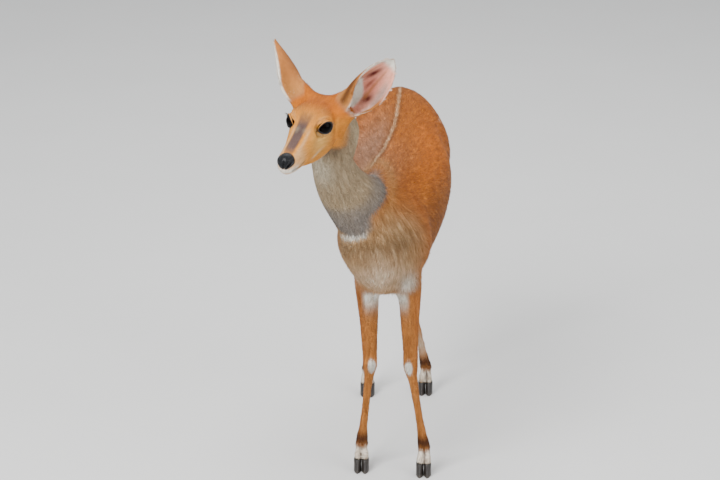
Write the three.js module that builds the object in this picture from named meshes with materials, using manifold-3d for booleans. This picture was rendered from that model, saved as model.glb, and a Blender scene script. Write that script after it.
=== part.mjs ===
// A standing bushbuck ewe, life size, in millimetres. It is laid out in the animal's own frame: +X to its
// left, +Y towards its rump and +Z up, with the floor at 0 and the withers above the origin. The finished
// group is shifted so that its origin is the middle of its footprint on the floor.
import * as THREE from "three";
import { mergeVertices } from "three/addons/utils/BufferGeometryUtils.js";
import Module from "manifold-3d";

const wasm = await Module();
wasm.setup();

// Driving dimensions
const WITHERS = 708; // height of the back over the shoulders
const RUMP = 734; // height of the back over the hips
const BRISKET = 428; // height of the chest floor between the forelegs
const GAP = 0.3; // clear space between touching nodes
const HEAD_LENGTH = 228; // from the nape to the tip of the nose
const HEAD_ORIGIN = { x: -131, y: -170, z: 896 }; // middle of the nape
const HEAD_TURN = 18.5; // degrees the face looks to the animal's right
const HEAD_DROP = 9; // degrees the nose drops below level
const HEAD_ROLL = 4; // degrees the crown leans to the animal's left
const EYE_RADIUS = 18;
const EYE = { along: 88, side: 31, above: 17 };
const EAR_LENGTH = 148;
const EAR_WALL = 3.2;
const KNEE = 252;
const HOCK = 290;
const FETLOCK = 62;
const CORONET = 27; // height of the top of a hoof
const FEET = {
  foreleg_left: { x: 73, y: 24 },
  foreleg_right: { x: -64, y: 42 },
  hindleg_left: { x: 64, y: 496 },
  hindleg_right: { x: -69, y: 482 },
};
const SIDES = { left: 1, right: -1 };

// Materials
const finish = (name, color, roughness) =>
  Object.assign(new THREE.MeshStandardMaterial({ color, roughness, metalness: 0 }), { name });
const COAT = finish("coat", 0xb0682c, 0.9);
const NECK_COAT = finish("neck_coat", 0x8f8070, 0.9);
const EAR_SKIN = finish("ear", 0xb9825a, 0.85);
const TAIL_COAT = finish("tail_coat", 0x8a5630, 0.95);
const EYE_BALL = finish("eye", 0x0d0a09, 0.08);
const NOSE_SKIN = finish("nose", 0x17181b, 0.3);
const HORN = finish("hoof", 0x2a2522, 0.45);

const radians = THREE.MathUtils.degToRad;
const at = (x, y, z) => new THREE.Vector3(x, y, z);
const bell = (distance, reach) => Math.exp(-((distance / reach) ** 2));

// Rows of named numbers, read at a share t of the way through them: a cubic through the rows, spaced by `key`
function rowAt(rows, key, t) {
  const place = rows.map((row) => row[key]);
  const x = place[0] + (place.at(-1) - place[0]) * t;
  let i = 0;
  while (i < rows.length - 2 && x > place[i + 1] === place[0] < place.at(-1)) i++;
  const span = place[i + 1] - place[i];
  const f = (x - place[i]) / span;
  const slope = (name, k) => {
    const low = Math.max(k - 1, 0);
    const high = Math.min(k + 1, rows.length - 1);
    return (rows[high][name] - rows[low][name]) / (place[high] - place[low]);
  };
  const made = {};
  for (const name of Object.keys(rows[0])) {
    const [a, b] = [rows[i][name], rows[i + 1][name]];
    const [m, n] = [slope(name, i) * span, slope(name, i + 1) * span];
    made[name] =
      a * (1 + 2 * f) * (1 - f) ** 2 + m * f * (1 - f) ** 2 + b * f * f * (3 - 2 * f) - n * f * f * (1 - f);
  }
  made[key] = x;
  return made;
}

// A closed surface over a grid of points: rings[i][j], each ring closed on itself, with a cap on each end,
// or with the last ring joined back to the first where `loop` is set
function surface(rings, loop = false) {
  const sides = rings[0].length;
  const points = rings.flat();
  const faces = [];
  const index = (i, j) => (i % rings.length) * sides + (j % sides);
  const steps = loop ? rings.length : rings.length - 1;
  for (let i = 0; i < steps; i++)
    for (let j = 0; j < sides; j++) {
      faces.push(index(i, j), index(i + 1, j), index(i + 1, j + 1));
      faces.push(index(i, j), index(i + 1, j + 1), index(i, j + 1));
    }
  if (!loop)
    for (const [ring, turn] of [[0, 1], [rings.length - 1, -1]]) {
      const middle = points.length;
      points.push(rings[ring].reduce((sum, p) => sum.add(p), at(0, 0, 0)).divideScalar(sides));
      for (let j = 0; j < sides; j++) {
        const [a, b] = turn > 0 ? [j, j + 1] : [j + 1, j];
        faces.push(middle, index(ring, a), index(ring, b));
      }
    }
  return new THREE.BufferGeometry().setFromPoints(points).setIndex(faces);
}

// A geometry as a solid for cutting and joining, turned the right way out
function solid(geometry) {
  const bare = geometry.clone();
  bare.deleteAttribute("normal");
  bare.deleteAttribute("uv");
  const merged = mergeVertices(bare, 1e-3);
  const build = (triVerts) =>
    new wasm.Manifold(
      new wasm.Mesh({ numProp: 3, vertProperties: merged.attributes.position.array, triVerts }),
    );
  const faces = new Uint32Array(merged.index.array);
  const made = build(faces);
  return made.volume() > 0 ? made : build(faces.reverse());
}

const placed = (geometry, matrix) => solid(geometry.clone().applyMatrix4(matrix));
const joined = (solids) => solids.reduce((a, b) => a.add(b));
const largest = (made) => made.decompose().reduce((a, b) => (b.volume() > a.volume() ? b : a));

// The outline of one section: an egg of half width `half`, reaching `up` and `down` from its widest line,
// with its own fullness for the upper and the lower half (2 is an ellipse, less is leaner, more is boxier)
function egg({ half, up, down, cap = 2, keel = 2 }, sides) {
  return Array.from({ length: sides }, (_, j) => {
    const angle = (2 * Math.PI * j) / sides;
    const [c, s] = [Math.cos(angle), Math.sin(angle)];
    const power = 2 / (s > 0 ? cap : keel);
    const across = half * Math.sign(c) * Math.abs(c) ** power;
    const above = (s > 0 ? up : down) * Math.sign(s) * Math.abs(s) ** power;
    return [across, above];
  });
}

// Sections square to a path through the rows' own x, y and z: `half` lies along `side`, `up` and `down` lie
// across it
function limb(rows, side, rings, sides, key = "z") {
  const step = 1e-3;
  return Array.from({ length: rings }, (_, i) => {
    const t = i / (rings - 1);
    const row = rowAt(rows, key, t);
    const [a, b] = [Math.max(t - step, 0), Math.min(t + step, 1)].map((s) => rowAt(rows, key, s));
    const along = at(b.x - a.x, b.y - a.y, b.z - a.z).normalize();
    const across = side.clone().addScaledVector(along, -side.dot(along)).normalize();
    const above = along.clone().cross(across);
    return egg(row, sides).map(([u, v]) =>
      at(row.x, row.y, row.z).addScaledVector(across, u).addScaledVector(above, v),
    );
  });
}

// Torso: upright sections from the breast to the buttocks. `back` and `floor` are the middle of a section at
// its top and at its bottom, for the spine bends to the animal's right at the shoulders
const TORSO = [
  { y: -114, back: -52, floor: -34, top: 580, low: 554, half: 8, wide: 568, cap: 2, keel: 2 },
  { y: -110, back: -52, floor: -34, top: 600, low: 530, half: 29, wide: 562, cap: 1.8, keel: 2 },
  { y: -94, back: -50, floor: -30, top: 622, low: 498, half: 50, wide: 556, cap: 2, keel: 2 },
  { y: -62, back: -44, floor: -22, top: 651, low: 464, half: 68, wide: 548, cap: 1.9, keel: 1.9 },
  { y: -22, back: -36, floor: -12, top: 684, low: 438, half: 82, wide: 545, cap: 1.7, keel: 1.8 },
  { y: 30, back: -30, floor: -4, top: WITHERS, low: BRISKET, half: 91, wide: 548, cap: 1.5, keel: 1.8 },
  { y: 90, back: -25, floor: -4, top: WITHERS, low: BRISKET - 6, half: 101, wide: 554, cap: 1.6, keel: 1.85 },
  { y: 170, back: -18, floor: -6, top: WITHERS - 5, low: BRISKET - 7, half: 116, wide: 562, cap: 2, keel: 2 },
  { y: 265, back: -11, floor: -8, top: WITHERS, low: BRISKET - 4, half: 129, wide: 570, cap: 2, keel: 2 },
  { y: 350, back: -7, floor: -7, top: RUMP - 14, low: BRISKET + 8, half: 131, wide: 579, cap: 2, keel: 2 },
  { y: 425, back: -5, floor: -5, top: RUMP - 4, low: BRISKET + 29, half: 121, wide: 590, cap: 1.95, keel: 2 },
  { y: 490, back: -2, floor: -2, top: RUMP, low: BRISKET + 55, half: 109, wide: 602, cap: 1.9, keel: 2 },
  { y: 545, back: 0, floor: 0, top: RUMP - 8, low: BRISKET + 83, half: 95, wide: 610, cap: 1.9, keel: 2 },
  { y: 588, back: 0, floor: 0, top: RUMP - 30, low: BRISKET + 113, half: 75, wide: 617, cap: 1.95, keel: 2 },
  { y: 614, back: 0, floor: 0, top: RUMP - 60, low: BRISKET + 147, half: 47, wide: 621, cap: 2, keel: 2 },
  { y: 624, back: 0, floor: 0, top: RUMP - 92, low: BRISKET + 179, half: 17, wide: 621, cap: 2, keel: 2 },
];
// Muscle masses that stand out of the torso's sides, each a soft hill at a place on the flank
const MASSES = [
  { y: 14, z: 556, reachY: 58, reachZ: 100, out: 12 }, // shoulder and upper arm
  { y: 98, z: 512, reachY: 32, reachZ: 85, out: -7 }, // hollow behind the shoulder
  { y: 408, z: 642, reachY: 42, reachZ: 42, out: -8 }, // hollow of the flank
  { y: 506, z: 570, reachY: 66, reachZ: 88, out: 14 }, // haunch
];
const END_ROUND = 0.55; // how much closer together the sections stand at the two ends

function torsoRings(rings, sides) {
  return Array.from({ length: rings }, (_, i) => {
    const t = i / (rings - 1);
    const eased = t - (END_ROUND * Math.sin(2 * Math.PI * t)) / (2 * Math.PI);
    const row = rowAt(TORSO, "y", eased);
    const section = { ...row, up: row.top - row.wide, down: row.wide - row.low };
    return egg(section, sides).map(([u, v]) => {
      const z = row.wide + v;
      const swell = MASSES.reduce(
        (sum, m) => sum + m.out * bell(row.y - m.y, m.reachY) * bell(z - m.z, m.reachZ),
        0,
      );
      const middle = row.floor + ((row.back - row.floor) * (z - row.low)) / (row.top - row.low);
      return at(middle + u * (1 + swell / row.half), row.y, z);
    });
  });
}

// Neck: from inside the shoulders up to the nape, swinging to the animal's right
const NECK = [
  { x: -32, y: 40, z: 590, half: 72, up: 76, down: 88 },
  { x: -53, y: -16, z: 630, half: 68, up: 71, down: 90 },
  { x: -97, y: -68, z: 694, half: 57, up: 56, down: 68 },
  { x: -118, y: -106, z: 762, half: 46, up: 49, down: 51 },
  { x: -115, y: -132, z: 830, half: 52, up: 51, down: 43 },
  { x: -120, y: -160, z: 878, half: 46, up: 43, down: 38 },
  { x: -133, y: -196, z: 904, half: 32, up: 30, down: 33 },
];

// Head: sections square to its own length, `along` from the nape to the nose
const HEAD = [
  { along: -9, top: 22, low: -36, half: 21, wide: -4, cap: 2, keel: 2 },
  { along: 6, top: 38, low: -60, half: 37, wide: -4, cap: 2.1, keel: 2 },
  { along: 34, top: 45, low: -74, half: 44, wide: 2, cap: 2.3, keel: 2.1 },
  { along: 64, top: 47, low: -79, half: 46, wide: 8, cap: 2.5, keel: 2 },
  { along: 92, top: 42, low: -75, half: 44, wide: 11, cap: 2.6, keel: 1.85 },
  { along: 120, top: 30, low: -66, half: 35, wide: 2, cap: 2.2, keel: 1.85 },
  { along: 152, top: 19, low: -53, half: 27.5, wide: -9, cap: 2.1, keel: 2 },
  { along: 184, top: 11, low: -45, half: 23.5, wide: -12, cap: 2.2, keel: 2.2 },
  { along: 207, top: 5, low: -40, half: 20.5, wide: -13, cap: 2.3, keel: 2.2 },
  { along: 220, top: -2, low: -36, half: 17, wide: -15, cap: 2.1, keel: 2.1 },
  { along: HEAD_LENGTH, top: -13, low: -29, half: 9.5, wide: -20, cap: 2, keel: 2 },
];
// Forms of the face, each a soft hill on both sides of the head
const FACE = [
  { along: 87, side: 40, above: 33, reach: 18, out: 5 }, // brow over the eye
  { along: 55, side: 38, above: -28, reach: 28, out: 4 }, // cheek
  { along: 116, side: 34, above: -2, reach: 15, out: -3 }, // hollow before the eye
  { along: 198, side: 20, above: -18, reach: 16, out: 2.5 }, // upper lip
  { along: 15, side: 30, above: 40, reach: 15, out: 7 }, // crown beside the root of the ear
];

const headMatrix = new THREE.Matrix4()
  .makeTranslation(HEAD_ORIGIN.x, HEAD_ORIGIN.y, HEAD_ORIGIN.z)
  .multiply(new THREE.Matrix4().makeRotationZ(-radians(HEAD_TURN)))
  .multiply(new THREE.Matrix4().makeRotationX(radians(HEAD_DROP)))
  .multiply(new THREE.Matrix4().makeRotationY(radians(HEAD_ROLL)));
// A point of the head, from the nape towards the nose, to the left and up
const onHead = (along, side, above) => at(side, -along, above).applyMatrix4(headMatrix);

// The head's skin at a share t of its length and an angle round it, in the head's own lengths
function headPoint(t, angle) {
  const row = rowAt(HEAD, "along", t);
  const [c, s] = [Math.cos(angle), Math.sin(angle)];
  const power = 2 / (s > 0 ? row.cap : row.keel);
  const side = row.half * Math.sign(c) * Math.abs(c) ** power;
  const reach = s > 0 ? row.top - row.wide : row.wide - row.low;
  const above = row.wide + reach * Math.sign(s) * Math.abs(s) ** power;
  const out = FACE.reduce((sum, f) => {
    const away = Math.hypot(row.along - f.along, Math.abs(side) - f.side, above - f.above);
    return sum + f.out * bell(away, f.reach);
  }, 0);
  const grow = 1 + out / Math.max(Math.hypot(side, above - row.wide), 1);
  return [row.along, side * grow, row.wide + (above - row.wide) * grow];
}

function headRings(rings, sides) {
  return Array.from({ length: rings }, (_, i) =>
    Array.from({ length: sides }, (_, j) =>
      onHead(...headPoint(i / (rings - 1), (2 * Math.PI * j) / sides)),
    ),
  );
}

// Eyes: a ball set in each side of the head, under an almond rim of lid
const LID = { gaze: 37, lift: 7, tilt: 7, length: 14, height: 11, corner: 0.22, overlap: 2.6, thick: 1.9 };
const OPENING = { near: 5, far: 34, sides: 14 }; // where the cut in front of an eye begins and ends

// An eye's own frame: x towards the nose, y up and z the way it looks
function eyeMatrix(sign) {
  const place = new THREE.Matrix4().makeTranslation(sign * EYE.side, -EYE.along, EYE.above);
  return headMatrix
    .clone()
    .multiply(place)
    .multiply(new THREE.Matrix4().makeRotationZ(-sign * radians(LID.gaze)))
    .multiply(new THREE.Matrix4().makeRotationY(-sign * radians(LID.lift)))
    .multiply(new THREE.Matrix4().makeBasis(at(0, -1, 0), at(0, 0, 1), at(sign, 0, 0)));
}

function eyeBall(sign, grow = 0) {
  return placed(new THREE.SphereGeometry(EYE_RADIUS + grow, 16, 10), eyeMatrix(sign));
}

// The almond between the lids, seen along the gaze: a point of it at an angle, `grow` times its own size
function almond(angle, grow = 1) {
  const tilt = radians(LID.tilt);
  const [c, s] = [Math.cos(angle), Math.sin(angle)];
  const u = grow * LID.length * (c + LID.corner * Math.max(c, 0) ** 3);
  const v = grow * LID.height * s;
  return [u * Math.cos(tilt) + v * Math.sin(tilt), v * Math.cos(tilt) - u * Math.sin(tilt)];
}

// What is cut out of the head in front of an eye, wider outwards
function opening(sign) {
  const rings = [0.9, 1.9].map((grow, i) =>
    Array.from({ length: OPENING.sides }, (_, j) => {
      const [x, y] = almond((2 * Math.PI * j) / OPENING.sides, grow);
      return at(x, y, OPENING.near + i * (OPENING.far - OPENING.near));
    }),
  );
  return placed(surface(rings), eyeMatrix(sign));
}

function lids(sign) {
  const [steps, sides] = [14, 5];
  const rings = Array.from({ length: steps }, (_, i) => {
    const [x, y] = almond((2 * Math.PI * i) / steps);
    const z = Math.sqrt(Math.max(EYE_RADIUS ** 2 - x * x - y * y, 12));
    const away = at(x, y, 0).normalize();
    const rise = at(x, y, z).normalize();
    return Array.from({ length: sides }, (_, j) => {
      const round = (2 * Math.PI * j) / sides;
      return at(x, y, z)
        .addScaledVector(away, LID.overlap * (0.75 + Math.cos(round)))
        .addScaledVector(rise, LID.thick * (Math.sin(round) + 0.1));
    });
  });
  return placed(surface(rings, true), eyeMatrix(sign));
}

// Nose pad: a rounded wedge over the tip of the muzzle, with a pit for each nostril
const NOSE = { along: 214, above: -8, half: 18, height: 17, depth: 18, slope: -2, narrow: 0.3 };
const NOSTRIL = { side: 10, forward: 13.5, drop: 1, wide: 2.8, deep: 7.5, high: 4.7, turn: 30, lean: -28 };

function nosePad(grow = 0) {
  const pad = new THREE.SphereGeometry(1, 16, 10).rotateX(Math.PI / 2);
  const place = pad.attributes.position;
  for (let i = 0; i < place.count; i++) {
    const [x, y, z] = [place.getX(i), place.getY(i), place.getZ(i)];
    const narrow = 1 - NOSE.narrow * Math.max(-z, 0) ** 1.5;
    place.setXYZ(
      i,
      x * (NOSE.half + grow) * narrow,
      y * (NOSE.depth + grow) - NOSE.along - z * NOSE.slope,
      z * (NOSE.height + grow) + NOSE.above,
    );
  }
  return placed(pad, headMatrix);
}

function nostril(sign) {
  const pit = new THREE.SphereGeometry(1, 10, 7).scale(NOSTRIL.wide, NOSTRIL.deep, NOSTRIL.high);
  const place = at(sign * NOSTRIL.side, -NOSE.along - NOSTRIL.forward, NOSE.above - NOSTRIL.drop);
  const turn = new THREE.Matrix4()
    .setPosition(place)
    .multiply(new THREE.Matrix4().makeRotationZ(radians(sign * NOSTRIL.turn)))
    .multiply(new THREE.Matrix4().makeRotationY(radians(sign * NOSTRIL.lean)));
  return placed(pit, headMatrix.clone().multiply(turn));
}

// Mouth: a groove along both lips, from one corner round the front of the muzzle to the other
const MOUTH = { corner: 0.72, front: 0.975, level: -40, wide: 1.3, deep: 3.6 };

function mouthGroove() {
  const steps = 8;
  const path = Array.from({ length: 2 * steps + 1 }, (_, i) => {
    const share = (i - steps) / steps;
    const t = MOUTH.front - (MOUTH.front - MOUTH.corner) * Math.abs(share) ** 1.3;
    const [along, side, above] = headPoint(t, radians(MOUTH.level));
    return at(side * Math.sign(share) * Math.min(1, 5 * Math.abs(share)), -along, above);
  });
  const rings = path.map((p, i) => {
    const next = path[Math.min(i + 1, path.length - 1)];
    const along = next.clone().sub(path[Math.max(i - 1, 0)]).normalize();
    const out = along.clone().cross(at(0, 0, 1)).normalize();
    const over = out.clone().cross(along);
    return [0, 1, 2, 3].map((j) => {
      const angle = (Math.PI / 2) * j;
      return p
        .clone()
        .addScaledVector(out, MOUTH.deep * Math.cos(angle))
        .addScaledVector(over, MOUTH.wide * Math.sin(angle));
    });
  });
  return placed(surface(rings), headMatrix);
}

// Ears: a leaf rolled into a cup. `tip` is the way the ear points and `mouth` the way its cup opens, both in
// the head's own frame: to its left, towards the rump and up. `wide` is how far the cup is spread
const EARS = {
  left: { tip: at(0.6, 0.4, 0.7), mouth: at(0.74, -0.63, 0.22), wide: 1 },
  right: { tip: at(-0.6, 0.47, 0.64), mouth: at(-0.8, -0.37, -0.47), wide: 0.81 },
};
const EAR = { along: 15, side: 45, above: 20, root: -16, cut: 18, back: 16, dip: 12 };
// The plug of flesh under an ear, from inside the head up into the bottom of the cup
const EAR_BASE = [
  { x: 0, y: 2, z: -38, half: 24, up: 20, down: 20 },
  { x: 0, y: -2, z: -12, half: 24, up: 20, down: 19 },
  { x: 0, y: -4, z: 14, half: 19, up: 16, down: 15 },
];
const LEAF = [
  { s: 0, half: 66, curl: 165, bow: 0 },
  { s: 0.14, half: 69, curl: 168, bow: 1 },
  { s: 0.24, half: 75, curl: 163, bow: 2 },
  { s: 0.37, half: 80, curl: 143, bow: 3 },
  { s: 0.52, half: 70, curl: 110, bow: 2 },
  { s: 0.68, half: 55, curl: 82, bow: -2 },
  { s: 0.82, half: 39, curl: 61, bow: -7 },
  { s: 0.92, half: 24, curl: 48, bow: -11 },
  { s: 0.97, half: 14.5, curl: 41, bow: -13 },
  { s: 1, half: 3, curl: 36, bow: -14 },
];

function earMatrix(name) {
  const { tip, mouth } = EARS[name];
  const up = tip.clone().normalize();
  const back = mouth.clone().addScaledVector(up, -mouth.dot(up)).normalize().negate();
  const place = at(SIDES[name] * EAR.side, -EAR.along, EAR.above);
  return headMatrix
    .clone()
    .multiply(new THREE.Matrix4().setPosition(place))
    .multiply(new THREE.Matrix4().makeBasis(back.clone().cross(up), back, up));
}

// A point of the ear's leaf: s from root to tip, t from edge to edge, `lift` out of its middle sheet
function leafPoint(s, t, lift, wide) {
  const leaf = rowAt(LEAF, "s", s);
  const curl = radians(leaf.curl);
  const radius = (wide * leaf.half) / curl;
  const height = EAR.root + (EAR_LENGTH - EAR.root) * leaf.s;
  return at(
    (radius + lift) * Math.sin(curl * t),
    EAR.back + leaf.bow - radius + (radius + lift) * Math.cos(curl * t),
    height - EAR.dip * t * t * (1 - leaf.s),
  );
}

// Two sheets of points laid face to face and closed along all four edges
function shell(outer, inner) {
  const [rows, columns] = [outer.length, outer[0].length];
  const faces = [];
  const index = (i, j, layer) => (layer * rows + i) * columns + j;
  const quad = (a, b, c, d) => faces.push(a, b, c, a, c, d);
  for (let i = 0; i < rows - 1; i++)
    for (let j = 0; j < columns - 1; j++) {
      quad(index(i, j, 0), index(i + 1, j, 0), index(i + 1, j + 1, 0), index(i, j + 1, 0));
      const [a, b] = [index(i, j, 1), index(i + 1, j, 1)];
      const [c, d] = [index(i + 1, j + 1, 1), index(i, j + 1, 1)];
      faces.push(a, c, b, a, d, c);
    }
  for (let i = 0; i < rows - 1; i++) {
    const last = columns - 1;
    quad(index(i, 0, 1), index(i + 1, 0, 1), index(i + 1, 0, 0), index(i, 0, 0));
    quad(index(i, last, 0), index(i + 1, last, 0), index(i + 1, last, 1), index(i, last, 1));
  }
  for (let j = 0; j < columns - 1; j++) {
    const last = rows - 1;
    quad(index(0, j, 0), index(0, j + 1, 0), index(0, j + 1, 1), index(0, j, 1));
    quad(index(last, j, 1), index(last, j + 1, 1), index(last, j + 1, 0), index(last, j, 0));
  }
  return new THREE.BufferGeometry().setFromPoints([...outer.flat(), ...inner.flat()]).setIndex(faces);
}

function ear(name) {
  const [rows, columns] = [12, 11];
  const layer = (face) =>
    Array.from({ length: rows }, (_, i) => {
      const share = i / (rows - 1);
      const s = 0.35 * Math.sqrt(share) + 0.65 * share;
      return Array.from({ length: columns }, (_, j) => {
        const t = (2 * j) / (columns - 1) - 1;
        const rim = 0.3 + 0.7 * Math.sqrt(1 - t ** 4);
        return leafPoint(s, t, (face * EAR_WALL * rim) / 2, EARS[name].wide);
      });
    });
  const base = placed(surface(limb(EAR_BASE, at(1, 0, 0), 4, 10)), earMatrix(name));
  return placed(shell(layer(1), layer(-1)), earMatrix(name)).add(base);
}

// Legs: `fore` shifts a section forwards of the line down to the foot; half is its width to either side
const FORELEG = [
  { z: 535, fore: 2, half: 26, up: 40, down: 40 },
  { z: 470, fore: 4, half: 28, up: 41, down: 44 },
  { z: 415, fore: -6, half: 26, up: 34, down: 37 },
  { z: 370, fore: -5, half: 23, up: 24, down: 27 },
  { z: 320, fore: -2, half: 19.5, up: 19, down: 20 },
  { z: 280, fore: 0, half: 18, up: 16.5, down: 16 },
  { z: KNEE, fore: 2, half: 17.5, up: 17.5, down: 15 },
  { z: 226, fore: 0, half: 13, up: 13.5, down: 14 },
  { z: 188, fore: -1, half: 11, up: 11.5, down: 14 },
  { z: 105, fore: -1, half: 11.2, up: 11, down: 14.5 },
  { z: 80, fore: -1, half: 13.6, up: 12.5, down: 16 },
  { z: FETLOCK, fore: 0, half: 15.3, up: 13.5, down: 17 },
  { z: 48, fore: 3, half: 13.5, up: 11, down: 14 },
];
const HINDLEG = [
  { z: 585, fore: 12, half: 34, up: 66, down: 96 },
  { z: 530, fore: 12, half: 44, up: 86, down: 111 },
  { z: 470, fore: 12, half: 40, up: 82, down: 96 },
  { z: 420, fore: 4, half: 29, up: 56, down: 63 },
  { z: 370, fore: -10, half: 20, up: 28, down: 34 },
  { z: 325, fore: -27, half: 16, up: 18, down: 22 },
  { z: HOCK, fore: -34, half: 16, up: 17, down: 20 },
  { z: 258, fore: -31, half: 13.5, up: 14, down: 16 },
  { z: 200, fore: -21, half: 11.5, up: 12, down: 13.5 },
  { z: 110, fore: -6, half: 11.6, up: 11, down: 14 },
  { z: 80, fore: -2, half: 13, up: 12.5, down: 15.5 },
  { z: FETLOCK, fore: 0, half: 14.8, up: 13.5, down: 16.5 },
  { z: 48, fore: 3, half: 13.2, up: 11, down: 14 },
];
const PASTERN = 15; // how far a hoof stands in front of its fetlock
// `top` is the middle of the leg inside the body and `joint` how far its knee or hock stands from the body's
// middle line
const LEGS = {
  foreleg_left: { rows: FORELEG, top: { x: 38, y: 18 }, bend: KNEE, joint: 43.5 },
  foreleg_right: { rows: FORELEG, top: { x: -53, y: 18 }, bend: KNEE, joint: -45 },
  hindleg_left: { rows: HINDLEG, top: { x: 56, y: 504 }, bend: HOCK, joint: 13 },
  hindleg_right: { rows: HINDLEG, top: { x: -57, y: 504 }, bend: HOCK, joint: -46 },
};

function legRows(name) {
  const { rows, top, bend, joint } = LEGS[name];
  const foot = FEET[name];
  const high = rows[0].z;
  return rows.map(({ z, fore, ...size }) => {
    const upper = (z - bend) / (high - bend);
    const lower = (z - FETLOCK) / (bend - FETLOCK);
    const x = z > bend ? joint + (top.x - joint) * upper : foot.x + (joint - foot.x) * lower;
    const whole = (z - FETLOCK) / (high - FETLOCK);
    const heel = foot.y + PASTERN;
    return { x, y: heel + (top.y - heel) * whole - fore, z, ...size };
  });
}

// The two toes of a foot, from the fetlock to the top of each hoof
const TOE = { apart: 8.4, half: 7.6, fore: 11, back: 12 };

function toe(name, sign) {
  const foot = FEET[name];
  const rows = [
    { x: 5, y: PASTERN, z: 60, half: 7, up: 9, down: 12 },
    { x: 7, y: 10, z: 46, half: 7.4, up: 10, down: 12 },
    { x: TOE.apart, y: 4, z: 34, half: TOE.half, up: TOE.fore, down: TOE.back },
    { x: TOE.apart, y: 1, z: CORONET - 4, half: TOE.half + 0.3, up: TOE.fore + 1, down: TOE.back },
  ].map((row) => ({ ...row, x: foot.x + sign * row.x, y: foot.y + row.y }));
  return solid(surface(limb(rows, at(1, 0, 0), 5, 10)));
}

function leg(name) {
  const shaft = solid(surface(limb(legRows(name), at(1, 0, 0), 24, 12)));
  return joined([shaft, toe(name, 1), toe(name, -1)]);
}

// A hoof: level sections from the top down to a flat sole, pointed at the toe
function hoof(name, sign) {
  const foot = FEET[name];
  const rows = [
    { y: 2, z: CORONET, half: TOE.half, up: TOE.fore, down: TOE.back, cap: 1.9, keel: 2.3 },
    { y: 0, z: 14, half: TOE.half + 0.3, up: 15.5, down: 14, cap: 1.7, keel: 2.4 },
    { y: -2, z: 4, half: TOE.half + 0.4, up: 20, down: 16, cap: 1.6, keel: 2.5 },
    { y: -2, z: 0, half: TOE.half, up: 20, down: 15, cap: 1.6, keel: 2.5 },
  ];
  const rings = rows.map((row) =>
    egg(row, 12).map(([u, v]) => at(foot.x + sign * TOE.apart + u, foot.y + row.y - v, row.z)),
  );
  return solid(surface(rings));
}

// A dewclaw: a short cone of horn behind the fetlock
const DEWCLAW = {
  root: { x: 7, y: PASTERN + 6, z: FETLOCK - 2 },
  tip: { x: 10.5, y: PASTERN + 22, z: FETLOCK - 14 },
  sizes: [{ s: 0, size: 5 }, { s: 0.5, size: 5 }, { s: 0.85, size: 3.6 }, { s: 1, size: 1.8 }],
};

function dewclaw(name, sign) {
  const foot = FEET[name];
  const [root, tip] = [DEWCLAW.root, DEWCLAW.tip].map((p) => at(foot.x + sign * p.x, foot.y + p.y, p.z));
  const rows = DEWCLAW.sizes.map(({ s, size }) => {
    const p = root.clone().lerp(tip, s);
    return { s, x: p.x, y: p.y, z: p.z, half: size, up: size, down: size };
  });
  return solid(surface(limb(rows, at(1, 0, 0), 5, 8, "s")));
}

// Tail: a slim core hung from the rump, with flat locks that overlap down its back and sides
const TAIL = [
  { s: 0, x: 0, y: 574, z: 688, half: 19, up: 16, down: 20 },
  { s: 0.2, x: 0, y: 617, z: 682, half: 16, up: 12, down: 13 },
  { s: 0.38, x: 0, y: 643, z: 642, half: 12, up: 9, down: 8 },
  { s: 0.64, x: 0, y: 649, z: 580, half: 11, up: 8, down: 8 },
  { s: 0.86, x: 0, y: 649, z: 524, half: 8, up: 6, down: 6 },
  { s: 1, x: 0, y: 646, z: 488, half: 3.5, up: 2.5, down: 2.5 },
];
const LOCKS = { tiers: 4, round: 5, from: 0.42, to: 0.9, length: 66, wide: 9, thick: 2.6, flare: 0.28 };
// A lock's rings: how far along it, how wide and how thick
const LOCK = [
  { at: -0.12, wide: 0.8, thick: 1 },
  { at: 0.3, wide: 1, thick: 1 },
  { at: 0.7, wide: 0.75, thick: 0.7 },
  { at: 1, wide: 0.14, thick: 0.2 },
];

// A flat lock that leaves its root along `out` and bends round to hang down
function lock(root, out, length) {
  const down = at(0, 0, -1);
  const across = down.clone().cross(out).normalize();
  const rings = LOCK.map((ring) => {
    const lift = length * LOCKS.flare * Math.sin(1.4 * Math.min(ring.at, 0.9));
    const middle = root.clone().addScaledVector(out, lift).addScaledVector(down, length * ring.at);
    const [w, h] = [LOCKS.wide * ring.wide, LOCKS.thick * ring.thick];
    return [[w, 0], [0, h], [-w, 0], [0, -h]].map(([u, v]) =>
      middle.clone().addScaledVector(across, u).addScaledVector(out, v),
    );
  });
  return solid(surface(rings));
}

function tail() {
  const core = solid(surface(limb(TAIL, at(1, 0, 0), 13, 12, "s")));
  const locks = [];
  for (let tier = 0; tier < LOCKS.tiers; tier++)
    for (let k = 0; k < LOCKS.round; k++) {
      const share = (tier + (k % 2) * 0.5) / LOCKS.tiers;
      const row = rowAt(TAIL, "s", LOCKS.from + (LOCKS.to - LOCKS.from) * share);
      const angle = radians(-10 + (200 * (k + 0.25 + 0.25 * (tier % 2))) / LOCKS.round);
      const out = at(Math.cos(angle), 0.7 * Math.sin(angle), 0).normalize();
      const root = at(row.x + out.x * row.half * 0.7, row.y + out.y * row.up * 0.7, row.z);
      const length = LOCKS.length * (0.85 + 0.15 * Math.cos(3.7 * k + 2.1 * tier));
      locks.push(lock(root, out, length));
    }
  return joined([core, ...locks]);
}

// Cuts: thin gaps that part the flesh into its named nodes, each a slab at a place
function slab(place, size, matrix = new THREE.Matrix4()) {
  const local = new THREE.Matrix4().setPosition(place.x, place.y, place.z);
  const tilt = new THREE.Matrix4().makeRotationX(radians(place.tilt ?? 0));
  return placed(new THREE.BoxGeometry(size.x, size.y, GAP), matrix.clone().multiply(local).multiply(tilt));
}

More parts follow.
